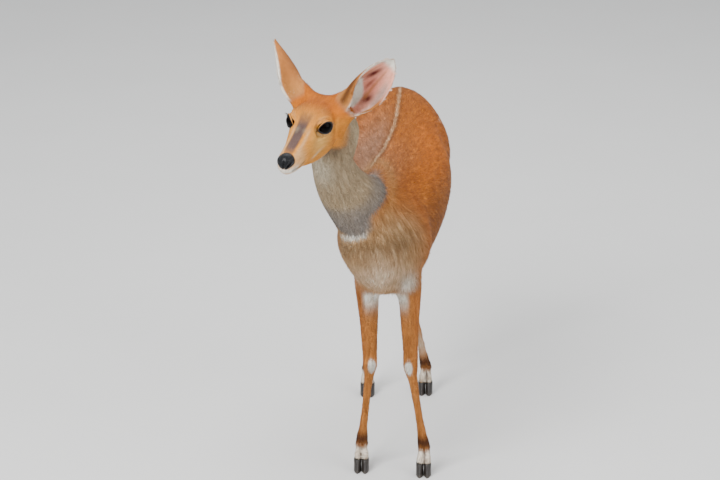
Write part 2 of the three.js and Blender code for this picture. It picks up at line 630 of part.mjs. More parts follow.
const CUTS = [
  slab({ x: 0, y: -10, z: -25, tilt: 56 }, { x: 130, y: 190 }, headMatrix),
  slab({ x: -40, y: -42, z: 632, tilt: 55 }, { x: 280, y: 262 }),
  slab({ x: 0, y: 630, z: 671, tilt: 35 }, { x: 46, y: 38 }),
  ...Object.keys(SIDES).map((side) => slab({ x: 0, y: 0, z: EAR.cut }, { x: 80, y: 80 }, earMatrix(side))),
];
for (const name of Object.keys(FEET)) {
  const rows = legRows(name);
  const { top, bend } = LEGS[name];
  CUTS.push(slab(rows.find((row) => row.z === bend), { x: 62, y: 74 }));
  if (name.startsWith("foreleg")) CUTS.push(slab({ x: top.x, y: 26, z: BRISKET - 13 }, { x: 80, y: 110 }));
  else CUTS.push(slab({ x: top.x, y: 500, z: BRISKET + 42, tilt: 21 }, { x: 126, y: 262 }));
}

// Each node of flesh, by a point inside it
const MARKS = {
  torso: at(0, 300, 560),
  neck: at(-92, -68, 700),
  head: onHead(130, 0, -10),
  tail: at(0, 649, 580),
};
for (const name of Object.keys(FEET)) {
  const rows = legRows(name);
  const [above, below] = name.startsWith("foreleg") ? ["forearm", 320] : ["shank", 370];
  for (const [part, z] of [[above, below], ["cannon", 150]]) {
    const row = rowAt(rows, "z", (rows[0].z - z) / (rows[0].z - rows.at(-1).z));
    MARKS[`${name}_${part}`] = at(row.x, row.y, row.z);
  }
}
for (const side of Object.keys(SIDES)) {
  MARKS[`ear_${side}`] = leafPoint(0.5, 0, 0, EARS[side].wide).applyMatrix4(earMatrix(side));
}

const part = new THREE.Group();

function addNode(name, made, material) {
  const { vertProperties, triVerts } = made.getMesh();
  const geometry = new THREE.BufferGeometry()
    .setAttribute("position", new THREE.BufferAttribute(vertProperties, 3))
    .setIndex(new THREE.BufferAttribute(triVerts, 1));
  const mesh = new THREE.Mesh(geometry, material);
  mesh.name = name;
  part.add(mesh);
}

const flesh = joined([
  solid(surface(torsoRings(32, 26))),
  solid(surface(limb(NECK, at(1, 0, 0), 11, 22))),
  solid(surface(headRings(26, 22))),
  ear("left"),
  ear("right"),
  ...Object.keys(FEET).map(leg),
  tail(),
]);
const ground = new THREE.BoxGeometry(1000, 2000, 2 * (CORONET + GAP));
const soles = placed(ground, new THREE.Matrix4().makeTranslation(0, 300, 0));
const pieces = CUTS.reduce((left, cut) => left.subtract(cut), flesh.subtract(soles)).decompose();
const speck = (place) => placed(new THREE.SphereGeometry(0.4, 6, 4), new THREE.Matrix4().setPosition(place));

const nodes = {};
for (const [name, mark] of Object.entries(MARKS)) {
  const probe = speck(mark);
  nodes[name] = pieces.find((piece) => piece.intersect(probe).volume() > 0);
  if (!nodes[name]) throw new Error(`nothing lies at the mark of ${name}`);
}

let { head } = nodes;
for (const sign of [1, -1]) head = head.subtract(opening(sign)).add(lids(sign)).subtract(eyeBall(sign, GAP));
head = head.subtract(nosePad(GAP)).subtract(mouthGroove());
nodes.head = largest(head);

const look = (name) => {
  if (name === "neck") return NECK_COAT;
  if (name === "tail") return TAIL_COAT;
  return name.startsWith("ear") ? EAR_SKIN : COAT;
};
for (const [name, made] of Object.entries(nodes)) addNode(name, largest(made), look(name));
addNode("nose", [1, -1].reduce((pad, sign) => pad.subtract(nostril(sign)), nosePad()), NOSE_SKIN);
for (const [side, sign] of Object.entries(SIDES)) addNode(`eye_${side}`, eyeBall(sign), EYE_BALL);
for (const name of Object.keys(FEET)) {
  const cannon = nodes[`${name}_cannon`];
  for (const [which, sign] of [["left", 1], ["right", -1]]) {
    addNode(`hoof_${name}_${which}`, hoof(name, sign), HORN);
    const claw = dewclaw(name, sign).subtract(cannon.translate([0, GAP, 0])).subtract(cannon);
    addNode(`dewclaw_${name}_${which}`, largest(claw), HORN);
  }
}

const box = new THREE.Box3().setFromObject(part);
part.position.set(-(box.min.x + box.max.x) / 2, -(box.min.y + box.max.y) / 2, -box.min.z);

export default part;
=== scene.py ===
"""A standing bushbuck ewe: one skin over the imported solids, with its coat, eyes, nose and hooves.

Lengths are millimetres in the animal's own frame (+X to its left, +Y to its rump, +Z up, withers above
the origin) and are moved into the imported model's frame, in metres, when a mesh is made.
"""

import bpy
import numpy as np
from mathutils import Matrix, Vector


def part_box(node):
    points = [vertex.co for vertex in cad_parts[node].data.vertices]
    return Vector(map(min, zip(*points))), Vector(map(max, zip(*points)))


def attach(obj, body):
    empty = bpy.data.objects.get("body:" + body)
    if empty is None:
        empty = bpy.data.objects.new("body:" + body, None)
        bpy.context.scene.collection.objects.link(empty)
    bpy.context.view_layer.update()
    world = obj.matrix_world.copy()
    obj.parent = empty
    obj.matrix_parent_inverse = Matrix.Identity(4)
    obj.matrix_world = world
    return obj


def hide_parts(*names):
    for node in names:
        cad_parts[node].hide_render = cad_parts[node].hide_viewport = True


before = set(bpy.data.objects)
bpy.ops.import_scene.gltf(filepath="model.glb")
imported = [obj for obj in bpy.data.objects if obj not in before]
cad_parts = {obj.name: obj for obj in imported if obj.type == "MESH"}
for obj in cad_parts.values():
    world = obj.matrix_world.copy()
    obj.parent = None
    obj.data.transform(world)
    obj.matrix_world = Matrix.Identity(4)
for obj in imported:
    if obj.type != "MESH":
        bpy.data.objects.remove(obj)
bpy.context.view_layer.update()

# Driving sizes, the same as the solids'
MM = 0.001
WITHERS = 708
RUMP = 734
BRISKET = 428
KNEE = 252
HOCK = 290
FETLOCK = 62
CORONET = 27
PASTERN = 15
HEAD_LENGTH = 228
HEAD_PLACE = np.array([-131.0, -170.0, 896.0])
HEAD_TURN, HEAD_DROP, HEAD_ROLL = 18.5, 9, 4
EYE_RADIUS = 18
EYE = np.array([31.0, -88.0, 17.0])
EAR_LENGTH = 148
EAR_WALL = 3.2
FEET = {
    "foreleg_left": (73, 24),
    "foreleg_right": (-64, 42),
    "hindleg_left": (64, 496),
    "hindleg_right": (-69, 482),
}
SIDES = {"left": 1, "right": -1}
TOE_APART, TOE_REACH = 8.4, 22

# The animal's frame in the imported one: both know where the left fore hoof stands
hoof_low, hoof_high = (np.array(corner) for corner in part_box("hoof_foreleg_left_left"))
foot_x, foot_y = FEET["foreleg_left"]
SHIFT = np.array([
    (hoof_low[0] + hoof_high[0]) / 2 - (foot_x + TOE_APART) * MM,
    hoof_low[1] - (foot_y - TOE_REACH) * MM,
    0,
])


# Reading rows of sizes

def table(names, rows):
    """Rows of numbers as one array for each name."""
    return dict(zip(names.split(), np.array(rows, float).T))


def read(rows, key, x):
    """Every column of a table at the places x of its key column: a cubic through the rows."""
    place = rows[key]
    x = np.clip(x, *sorted((place[0], place[-1])))
    way = 1 if place[-1] > place[0] else -1
    i = np.clip(np.searchsorted(place * way, np.asarray(x) * way, side="right") - 1, 0, len(place) - 2)
    span = place[i + 1] - place[i]
    f = (x - place[i]) / span
    made = {}
    for name, values in rows.items():
        slope = np.gradient(values) / np.gradient(place)
        a, b, m, n = values[i], values[i + 1], slope[i] * span, slope[i + 1] * span
        made[name] = (a * (1 + 2 * f) * (1 - f) ** 2 + m * f * (1 - f) ** 2
                      + b * f * f * (3 - 2 * f) - n * f * f * (1 - f))
    made[key] = np.asarray(x, float)
    return made


def bell(distance, reach):
    return np.exp(-((distance / reach) ** 2))


def ramp(x, low, high):
    """0 below low, 1 above high, with a smooth rise between them."""
    f = np.clip((x - low) / (high - low), 0, 1)
    return f * f * (3 - 2 * f)


def fall(x, low, high):
    return 1 - ramp(x, low, high)


def unit(v):
    return v / np.maximum(np.linalg.norm(v, axis=-1, keepdims=True), 1e-12)


def signed_power(v, power):
    return np.sign(v) * np.abs(v) ** power


def egg(half, up, down, cap, keel, angle):
    """A section's outline: across = half cos^(2/k), above = reach sin^(2/k).

    Above and below the widest line it has a reach (up, down) and a fullness k (cap, keel) each.
    """
    c, s = np.cos(angle), np.sin(angle)
    power = 2 / np.where(s > 0, cap, keel)
    return half * signed_power(c, power), np.where(s > 0, up, down) * signed_power(s, power)


def around(sides):
    """Angles in even steps round a circle."""
    return np.linspace(0, 2 * np.pi, sides, endpoint=False)


def grid(steps, sides):
    """Shares 0 to 1 down a form as a column, and angles round it as a row."""
    return np.linspace(0, 1, steps)[:, None], around(sides)[None, :]


def limb(rows, key, steps, sides, across_way=(1, 0, 0)):
    """Sections square to the path through the rows' x, y and z: half across, and up and down from it."""
    t, angle = grid(steps, sides)
    place = rows[key]
    at = place[0] + (place[-1] - place[0]) * t[:, 0]
    step = (place[-1] - place[0]) * 1e-3
    row, ahead, behind = (read(rows, key, at + k * step) for k in (0, 1, -1))
    path, nxt, last = (np.stack([r["x"], r["y"], r["z"]], -1) for r in (row, ahead, behind))
    along = unit(nxt - last)
    side = np.array(across_way, float)
    across = unit(side - along * (along @ side)[:, None])
    above = np.cross(along, across)
    column = {name: values[:, None] for name, values in row.items()}
    cap, keel = column.get("cap", 2), column.get("keel", 2)
    u, v = egg(column["half"], column["up"], column["down"], cap, keel, angle)
    return path[:, None] + across[:, None] * u[..., None] + above[:, None] * v[..., None]


# Matrices, as a turn and a place

def turn(axis, degrees):
    """The matrix that turns by so many degrees about X, Y or Z."""
    c, s = np.cos(np.radians(degrees)), np.sin(np.radians(degrees))
    i, j = {"x": (1, 2), "y": (2, 0), "z": (0, 1)}[axis]
    made = np.eye(3)
    made[i, i], made[i, j], made[j, i], made[j, j] = c, -s, s, c
    return made


HEAD_TURNED = turn("z", -HEAD_TURN) @ turn("x", HEAD_DROP) @ turn("y", HEAD_ROLL)


def from_head(points):
    """Points in the head's own frame (to its left, towards the rump, up) in the animal's."""
    return points @ HEAD_TURNED.T + HEAD_PLACE


def to_head(points):
    return (points - HEAD_PLACE) @ HEAD_TURNED


# Body forms, the same rows as the solids

TORSO = table("y back floor top low half wide cap keel", [
    (-114, -52, -34, 580, 554, 8, 568, 2, 2),
    (-110, -52, -34, 600, 530, 29, 562, 1.8, 2),
    (-94, -50, -30, 622, 498, 50, 556, 2, 2),
    (-62, -44, -22, 651, 464, 68, 548, 1.9, 1.9),
    (-22, -36, -12, 684, 438, 82, 545, 1.7, 1.8),
    (30, -30, -4, WITHERS, BRISKET, 91, 548, 1.5, 1.8),
    (90, -25, -4, WITHERS, BRISKET - 6, 101, 554, 1.6, 1.85),
    (170, -18, -6, WITHERS - 5, BRISKET - 7, 116, 562, 2, 2),
    (265, -11, -8, WITHERS, BRISKET - 4, 129, 570, 2, 2),
    (350, -7, -7, RUMP - 14, BRISKET + 8, 131, 579, 2, 2),
    (425, -5, -5, RUMP - 4, BRISKET + 29, 121, 590, 1.95, 2),
    (490, -2, -2, RUMP, BRISKET + 55, 109, 602, 1.9, 2),
    (545, 0, 0, RUMP - 8, BRISKET + 83, 95, 610, 1.9, 2),
    (588, 0, 0, RUMP - 30, BRISKET + 113, 75, 617, 1.95, 2),
    (614, 0, 0, RUMP - 60, BRISKET + 147, 47, 621, 2, 2),
    (624, 0, 0, RUMP - 92, BRISKET + 179, 17, 621, 2, 2),
])
# Muscle masses on both flanks: where each stands, how far it reaches and how far it stands out
MASSES = [
    (14, 556, 58, 100, 12),
    (98, 512, 32, 85, -7),
    (408, 642, 42, 42, -8),
    (506, 570, 66, 88, 14),
]
NECK = table("x y z half up down", [
    (-32, 40, 590, 72, 76, 88),
    (-53, -16, 630, 68, 71, 90),
    (-97, -68, 694, 57, 56, 68),
    (-118, -106, 762, 46, 49, 51),
    (-115, -132, 830, 52, 51, 43),
    (-120, -160, 878, 46, 43, 38),
    (-133, -196, 904, 32, 30, 33),
])
HEAD = table("along top low half wide cap keel", [
    (-9, 22, -36, 21, -4, 2, 2),
    (6, 38, -60, 37, -4, 2.1, 2),
    (34, 45, -74, 44, 2, 2.3, 2.1),
    (64, 47, -79, 46, 8, 2.5, 2),
    (92, 42, -75, 44, 11, 2.6, 1.85),
    (120, 30, -66, 35, 2, 2.2, 1.85),
    (152, 19, -53, 27.5, -9, 2.1, 2),
    (184, 11, -45, 23.5, -12, 2.2, 2.2),
    (207, 5, -40, 20.5, -13, 2.3, 2.2),
    (220, -2, -36, 17, -15, 2.1, 2.1),
    (HEAD_LENGTH, -13, -29, 9.5, -20, 2, 2),
])
# Forms of the face on both sides: along, side, above, reach and out
FACE = [
    (87, 40, 33, 18, 5),
    (55, 38, -28, 28, 4),
    (116, 34, -2, 15, -3),
    (198, 20, -18, 16, 2.5),
    (15, 30, 40, 15, 7),
]
FORELEG = table("z fore half up down", [
    (535, 2, 26, 40, 40),
    (470, 4, 28, 41, 44),
    (415, -6, 26, 34, 37),
    (370, -5, 23, 24, 27),
    (320, -2, 19.5, 19, 20),
    (280, 0, 18, 16.5, 16),
    (KNEE, 2, 17.5, 17.5, 15),
    (226, 0, 13, 13.5, 14),
    (188, -1, 11, 11.5, 14),
    (105, -1, 11.2, 11, 14.5),
    (80, -1, 13.6, 12.5, 16),
    (FETLOCK, 0, 15.3, 13.5, 17),
    (48, 3, 13.5, 11, 14),
])
HINDLEG = table("z fore half up down", [
    (585, 12, 34, 66, 96),
    (530, 12, 44, 86, 111),
    (470, 12, 40, 82, 96),
    (420, 4, 29, 56, 63),
    (370, -10, 20, 28, 34),
    (325, -27, 16, 18, 22),
    (HOCK, -34, 16, 17, 20),
    (258, -31, 13.5, 14, 16),
    (200, -21, 11.5, 12, 13.5),
    (110, -6, 11.6, 11, 14),
    (80, -2, 13, 12.5, 15.5),
    (FETLOCK, 0, 14.8, 13.5, 16.5),
    (48, 3, 13.2, 11, 14),
])
# Each leg: its rows, the middle of its top inside the body, its bend's height and how far out the bend is
LEGS = {
    "foreleg_left": (FORELEG, (38, 18), KNEE, 43.5),
    "foreleg_right": (FORELEG, (-53, 18), KNEE, -45),
    "hindleg_left": (HINDLEG, (56, 504), HOCK, 13),
    "hindleg_right": (HINDLEG, (-57, 504), HOCK, -46),
}
TAIL = table("s x y z half up down", [
    (0, 0, 574, 688, 19, 16, 20),
    (0.2, 0, 617, 682, 16, 12, 13),
    (0.38, 0, 643, 642, 12, 9, 8),
    (0.64, 0, 649, 580, 11, 8, 8),
    (0.86, 0, 649, 524, 8, 6, 6),
    (1, 0, 646, 488, 3.5, 2.5, 2.5),
])
LEAF = table("s half curl bow", [
    (0, 66, 165, 0),
    (0.14, 69, 168, 1),
    (0.24, 75, 163, 2),
    (0.37, 80, 143, 3),
    (0.52, 70, 110, 2),
    (0.68, 55, 82, -2),
    (0.82, 39, 61, -7),
    (0.92, 24, 48, -11),
    (0.97, 14.5, 41, -13),
    (1, 3, 36, -14),
])
# The flesh round each ear's root, spreading out into the head below it
EAR_BASE = table("x y z half up down", [
    (0, -4, -44, 44, 40, 36),
    (0, -5, -26, 36, 32, 29),
    (0, -6, -12, 30, 26.5, 25),
    (0, -7, 0, 27, 24, 23.5),
    (0, -7, 10, 25.5, 23, 23),
    (0, -7, 15, 22, 20, 19),
])
# The saddle of flesh from the middle of the crown out to the inner side of each ear, in the head's frame
CROWN_WEB = table("x y z half up down", [
    (0, -12, 31, 17, 14, 20),
    (16, -12, 33, 17, 14, 20),
    (30, -9, 38, 15, 14, 18),
    (42, -3, 46, 13, 13, 16),
    (52, 2, 55, 10, 10, 12),
    (59, 5, 63, 5, 6, 7),
])
# Each ear: the way it points and the way its cup opens, in the head's frame, and how far the cup is spread
EARS = {
    "left": ((0.6, 0.4, 0.7), (0.74, -0.63, 0.22), 1),
    "right": ((-0.6, 0.47, 0.64), (-0.8, -0.37, -0.47), 0.81),
}
EAR_ROOT, EAR_BACK, EAR_DIP = -16, 16, 12
EAR_PLACE = np.array([45.0, -15.0, 20.0])
EAR_BASE_BACK = 23


def section(row, angle):
    """The outline of a row that gives its top, its low side and the height at which it is widest."""
    up, down = row["top"] - row["wide"], row["wide"] - row["low"]
    return egg(row["half"], up, down, row["cap"], row["keel"], angle)


def torso(steps, sides):
    """Upright eggs along y, swollen by the muscle masses, their middles leaning from floor to back."""
    t, angle = grid(steps, sides)
    eased = t - 0.55 * np.sin(2 * np.pi * t) / (2 * np.pi)
    row = read(TORSO, "y", TORSO["y"][0] + (TORSO["y"][-1] - TORSO["y"][0]) * eased)
    u, v = section(row, angle)
    y, z = np.broadcast_to(row["y"], u.shape), row["wide"] + v
    swell = sum(out * bell(y - at_y, wide) * bell(z - at_z, high) for at_y, at_z, wide, high, out in MASSES)
    middle = row["floor"] + (row["back"] - row["floor"]) * (z - row["low"]) / (row["top"] - row["low"])
    return np.stack([middle + u * (1 + swell / row["half"]), y, z], -1)


def head_point(along, angle):
    """The head's own skin at a length along it and an angle round it, with the soft hills of the face."""
    row = read(HEAD, "along", along)
    side, reach = section(row, angle)
    above = row["wide"] + reach
    out = 0
    for at_along, at_side, at_above, wide, high in FACE:
        ahead = row["along"] - at_along
        away = np.sqrt(ahead ** 2 + (np.abs(side) - at_side) ** 2 + (above - at_above) ** 2)
        out = out + high * bell(away, wide)
    grow = 1 + out / np.maximum(np.hypot(side, reach), 1)
    behind = -np.broadcast_to(row["along"], side.shape)
    return np.stack([side * grow, behind, row["wide"] + reach * grow], -1)


def head(steps, sides):
    t, angle = grid(steps, sides)
    return from_head(head_point(HEAD["along"][0] + (HEAD["along"][-1] - HEAD["along"][0]) * t, angle))


def side_of(name):
    """1 for a left leg and -1 for a right one."""
    return SIDES[name.split("_")[1]]


def leg_rows(name):
    """A leg's rows with the x and y of its path: straight down to the joint, then out to the foot."""
    rows, top, bend, joint = LEGS[name]
    foot_x, foot_y = FEET[name]
    z = rows["z"]
    upper, lower = (z - bend) / (z[0] - bend), (z - FETLOCK) / (bend - FETLOCK)
    x = np.where(z > bend, joint + (top[0] - joint) * upper, foot_x + (joint - foot_x) * lower)
    heel = foot_y + PASTERN
    y = heel + (top[1] - heel) * (z - FETLOCK) / (z[0] - FETLOCK) - rows["fore"]
    return {**rows, "x": x, "y": y}


def toe_rows(name, sign):
    foot_x, foot_y = FEET[name]
    rows = table("x y z half up down", [
        (5, PASTERN, 60, 7, 9, 12),
        (7, 10, 46, 7.4, 10, 12),
        (TOE_APART, 4, 34, 7.6, 11, 12),
        (TOE_APART, 1, CORONET - 4, 7.9, 12, 12),
    ])
    rows["x"] = foot_x + sign * rows["x"]
    rows["y"] = foot_y + rows["y"]
    return rows


def ear_frame(name):
    """The ear's place in the head's frame and its axes: across, towards its back, up to its tip."""
    tip, mouth = (np.array(v) for v in EARS[name][:2])
    up = unit(tip)
    back = -unit(mouth - up * (mouth @ up))
    return EAR_PLACE * (SIDES[name], 1, 1), np.stack([np.cross(back, up), back, up])


def leaf_point(s, t, lift, wide):
    """The ear's leaf: s from root to tip, t from edge to edge, lift out of its sheet.

    The sheet is an arc that uncurls upwards, spread by wide.
    """
    leaf = read(LEAF, "s", s)
    curl = np.radians(leaf["curl"])
    radius = wide * leaf["half"] / curl
    height = EAR_ROOT + (EAR_LENGTH - EAR_ROOT) * leaf["s"]
    x = (radius + lift) * np.sin(curl * t)
    y = EAR_BACK + leaf["bow"] - radius + (radius + lift) * np.cos(curl * t)
    return np.stack(np.broadcast_arrays(x, y, height - EAR_DIP * t * t * (1 - leaf["s"])), -1)


def from_ear(name, points):
    place, axes = ear_frame(name)
    return from_head(points @ axes + place)


def thinned(t):
    """The ear's thickness as a share, down to nothing at both edges."""
    return np.sqrt(np.maximum(1 - t ** 6, 0))


def ear(name, steps, sides):
    """A closed leaf: round each ring the outer sheet runs from edge to edge and the inner one runs back."""
    share, angle = grid(steps, sides)
    s = 0.35 * np.sqrt(share) + 0.65 * share
    t = -np.cos(angle)
    lift = np.sign(np.sin(angle)) * EAR_WALL / 2 * thinned(t)
    return from_ear(name, leaf_point(s, t, lift, EARS[name][2]))


def ear_base(name, steps, sides):
    """The flesh under an ear, drawn in and set back at its top where the cup is narrower."""
    narrow = 1 - (1 - EARS[name][2]) * ramp(EAR_BASE["z"], -44, 0)
    rows = {**EAR_BASE, **{key: EAR_BASE[key] * narrow for key in ("half", "up", "down")}}
    rows["y"] = EAR_BASE["y"] + EAR_BASE_BACK * (1 - narrow)
    return from_ear(name, limb(rows, "z", steps, sides))


# Meshes

def ring_faces(steps, sides, loop=False):
    """Quads over a grid whose rows close on themselves; a loop's last row also joins its first."""
    i, j = np.meshgrid(np.arange(steps if loop else steps - 1), np.arange(sides), indexing="ij")
    a, b = i * sides + j, i * sides + (j + 1) % sides
    c, d = ((i + 1) % steps) * sides + (j + 1) % sides, ((i + 1) % steps) * sides + j
    return np.stack([a, b, c, d], -1).reshape(-1, 4)


def closed(points):
    """A closed surface over a grid: its sides, and a fan of triangles to the middle of each end ring."""
    steps, sides = points.shape[:2]
    verts = np.concatenate([points.reshape(-1, 3), points[0].mean(0)[None], points[-1].mean(0)[None]])
    first, last = np.arange(sides), (steps - 1) * sides + np.arange(sides)
    near = np.stack([np.full(sides, steps * sides), np.roll(first, -1), first], -1)
    far = np.stack([np.full(sides, steps * sides + 1), last, np.roll(last, -1)], -1)
    return verts, ring_faces(steps, sides), np.concatenate([near, far])


def outward(verts, quads, tris):
    """The same faces, turned over if the closed surface they make is inside out."""
    fans = np.concatenate([quads[:, [0, 1, 2]], quads[:, [0, 2, 3]], tris])
    a, b, c = (verts[fans[:, k]] for k in range(3))
    if np.einsum("ij,ij->i", a, np.cross(b, c)).sum() < 0:
        return quads[:, ::-1], tris[:, ::-1]
    return quads, tris


def joined(forms):
    """Several closed forms as one set of points, quads and triangles, each form turned outwards."""
    verts, quads, tris, count = [], [], [], 0
    for form in forms:
        q, t = outward(*form)
        verts.append(form[0])
        quads.append(q + count)
        tris.append(t + count)
        count += len(form[0])
    return np.concatenate(verts), np.concatenate(quads), np.concatenate(tris)


def build_mesh(name, verts, quads, tris):
    """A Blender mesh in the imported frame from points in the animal's, with smooth shading."""
    mesh = bpy.data.meshes.new(name)
    points = verts * MM + SHIFT
    loops = np.concatenate([quads.ravel(), tris.ravel()]).astype(np.int32)
    starts = np.concatenate([np.arange(len(quads)) * 4, len(quads) * 4 + np.arange(len(tris)) * 3])
    mesh.vertices.add(len(points))
    mesh.vertices.foreach_set("co", points.astype(np.float32).ravel())
    mesh.loops.add(len(loops))
    mesh.loops.foreach_set("vertex_index", loops)
    mesh.polygons.add(len(starts))
    mesh.polygons.foreach_set("loop_start", starts.astype(np.int32))
    mesh.polygons.foreach_set("use_smooth", np.ones(len(starts), bool))
    mesh.update(calc_edges=True)
    mesh.validate()
    return mesh


def piece(name, data):
    """A new object in the scene, from a mesh, a lamp or a camera."""
    made = bpy.data.objects.new(name, data)
    bpy.context.scene.collection.objects.link(made)
    return made


# Skin: every form of flesh merged into one closed surface. Space is stretched round the head before the
# surface is drawn over again at one spacing, and shrunk back after, so the face gets the finest mesh

FOCUS = from_head(np.array([0.0, -65.0, 52.0]))
MAGNIFY = 4.2
NEAR, FAR = 150.0, 300.0
SPACING = 8.5
PLAIN_RADII = np.linspace(0, 1600, 3201)
GAIN = 1 + (MAGNIFY - 1) * fall(PLAIN_RADII, NEAR, FAR)
DRAWN_RADII = np.concatenate([[0], np.cumsum((GAIN[1:] + GAIN[:-1]) / 2 * np.diff(PLAIN_RADII))])


def stretch(points, source, target):
    """Points moved along their rays from the focus, from one scale of radius to the other."""
    ray = points - FOCUS
    far = np.linalg.norm(ray, axis=1)
    return FOCUS + ray * (np.interp(far, source, target) / np.maximum(far, 1e-9))[:, None]


def merged_flesh():
    """The merged surface's points, quads and triangles."""
    forms = [closed(torso(150, 130)), closed(limb(NECK, "z", 70, 96)), closed(head(230, 200))]
    for name in LEGS:
        forms.append(closed(limb(leg_rows(name), "z", 170, 48)))
        forms += [closed(limb(toe_rows(name, sign), "z", 26, 32)) for sign in (1, -1)]
    forms.append(closed(limb(TAIL, "s", 50, 40)))
    for name in SIDES:
        forms.append(closed(ear(name, 110, 120)))
        forms.append(closed(ear_base(name, 40, 60)))
        web = limb(CROWN_WEB, "x", 40, 48, (0, 1, 0)) * (SIDES[name], 1, 1)
        forms.append(closed(from_head(web)))
    verts, quads, tris = joined(forms)
    rough = piece("rough", build_mesh("rough", stretch(verts, PLAIN_RADII, DRAWN_RADII), quads, tris))
    remesh = rough.modifiers.new("merge", "REMESH")
    remesh.mode = "VOXEL"
    remesh.voxel_size = SPACING * MM
    evaluated = rough.evaluated_get(bpy.context.evaluated_depsgraph_get())
    mesh = bpy.data.meshes.new_from_object(evaluated)
    bpy.data.objects.remove(rough)
    found = np.zeros(len(mesh.vertices) * 3, np.float32)
    mesh.vertices.foreach_get("co", found)
    points = (found.reshape(-1, 3).astype(float) - SHIFT) / MM
    loops = np.zeros(len(mesh.loops), np.int32)
    mesh.loops.foreach_get("vertex_index", loops)
    sizes = np.zeros(len(mesh.polygons), np.int32)
    mesh.polygons.foreach_get("loop_total", sizes)
    starts = np.concatenate([[0], np.cumsum(sizes)[:-1]])
    quads, tris = (loops[starts[sizes == count][:, None] + np.arange(count)] for count in (4, 3))
    bpy.data.meshes.remove(mesh)
    return stretch(points, DRAWN_RADII, PLAIN_RADII), quads, tris


def edges_of(quads, tris):
    """Every pair of points that share an edge, once."""
    pairs = [np.stack([faces, np.roll(faces, -1, 1)], -1).reshape(-1, 2) for faces in (quads, tris)]
    return np.unique(np.sort(np.concatenate(pairs), axis=1), axis=0)


def smoothed(points, edges, weight, rounds):
    """Each point moved by its weight towards the mean of its neighbours, a number of times."""
    a, b = edges.T
    count = len(points)
    degree = np.bincount(np.concatenate([a, b]), minlength=count)[:, None]
    for _ in range(rounds):
        total = np.stack([np.bincount(a, points[b, k], count) + np.bincount(b, points[a, k], count)
                          for k in range(3)], -1)
        points = points + weight[:, None] * (total / degree - points)
    return points


def filled(points, quads, tris, weight, rounds):
    """Hollows between forms filled with flesh: smoothing that only ever moves a point outwards."""
    moves = weight > 0.01
    quads, tris = (faces[moves[faces].any(1)] for faces in (quads, tris))
    used = np.unique(np.concatenate([quads.ravel(), tris.ravel()]))
    local = np.zeros(len(points), int)
    local[used] = np.arange(len(used))
    quads, tris = local[quads], local[tris]
    edges = edges_of(quads, tris)
    part, weight = points[used], (weight * moves)[used]
    for k in range(rounds):
        if k % 8 == 0:
            way = normals_of(part, quads, tris)
        step = smoothed(part, edges, weight, 1) - part
        part = part + step * ((step * way).sum(1) > 0)[:, None]
    made = points.copy()
    made[used] = part
    return made


def normals_of(points, quads, tris):
    """Point normals, from the faces round each point weighted by their areas."""
    made = np.zeros_like(points)
    for faces in (quads, tris):
        p = points[faces]
        if faces.shape[1] == 4:
            flat = np.cross(p[:, 2] - p[:, 0], p[:, 3] - p[:, 1])
        else:
            flat = np.cross(p[:, 1] - p[:, 0], p[:, 2] - p[:, 0])
        for k in range(faces.shape[1]):
            made += np.stack([np.bincount(faces[:, k], flat[:, c], len(points)) for c in range(3)], -1)
    return unit(made)


# Where a point of the skin lies

FORELEG_TOP, HINDLEG_TOP = 478, 500  # how high the legs' own coats reach


def ear_place(name, points):
    """A point in an ear's own terms: s up its length, t from edge to edge, lift out of its sheet.

    The last value is how much of the point belongs to the ear, from 0 to 1.
    """
    place, axes = ear_frame(name)
    x, y, up = ((to_head(points) - place) @ axes.T).T
    s = (up - EAR_ROOT) / (EAR_LENGTH - EAR_ROOT)
    leaf = read(LEAF, "s", np.clip(s, 0, 1))
    curl = np.radians(leaf["curl"])
    radius = EARS[name][2] * leaf["half"] / curl
    back = y - (EAR_BACK + leaf["bow"] - radius)
    t = np.arctan2(x, back) / curl
    lift = np.hypot(x, back) - radius
    near = fall(np.abs(lift), 5, 10) * ramp(s, 0.1, 0.22) * fall(s, 1.04, 1.1) * (np.abs(t) < 1.25)
    return s, t, lift, near


def leg_place(name, points):
    """A point in a leg's own terms: across and before its middle line, and that distance in leg sizes."""
    rows = read(leg_rows(name), "z", points[:, 2])
    across, before = points[:, 0] - rows["x"], rows["y"] - points[:, 1]
    size = np.hypot(across / rows["half"], before / np.where(before > 0, rows["up"], rows["down"]))
    return across, before, size


class Place:
    """Where each of a set of points lies on the animal, worked out once."""

    def __init__(self, points):
        self.points = points
        self.x, self.y, self.z = points.T
        self.in_head = to_head(points)
        self.side, behind, self.above = self.in_head.T
        self.along = -behind
        self.head = ramp(self.along, -14, 12) * ramp(self.above, -84, -66) * (self.z > 780)
        self.ears = {name: ear_place(name, points) for name in SIDES}
        self.ear = np.maximum(self.ears["left"][3], self.ears["right"][3]) * (self.z > 880)
        self.head = self.head * (1 - self.ear)
        # How far above the collar's seam, which bulges a little in front
        self.up_neck = -0.27 * self.x - 0.56 * self.y + 0.79 * self.z - 549 - 24 * bell(self.z - 648, 24)
        self.neck = ramp(self.up_neck, -5, 8) * (1 - self.head) * (1 - self.ear) * (self.z > 560)
        self.legs = {}
        for name in LEGS:
            across, before, size = leg_place(name, points)
            high = FORELEG_TOP if name.startswith("fore") else HINDLEG_TOP
            own = (size < 1.9) * fall(self.z, high - 50, high)
            self.legs[name] = (across, before, own)
        self.leg = np.clip(sum(own for _, _, own in self.legs.values()), 0, 1)
        self.tail = ramp(self.y, 622, 630) * fall(self.z, 655, 690)


# Eyes: each has its own frame, x towards the nose, y up and z the way it looks

GAZE, LIFT, TILT = 37, 7, 7
TILT_COS, TILT_SIN = np.cos(np.radians(TILT)), np.sin(np.radians(TILT))
ALMOND = (13, 11.2, 0.2)  # half length, half height and how far the front corner is drawn out


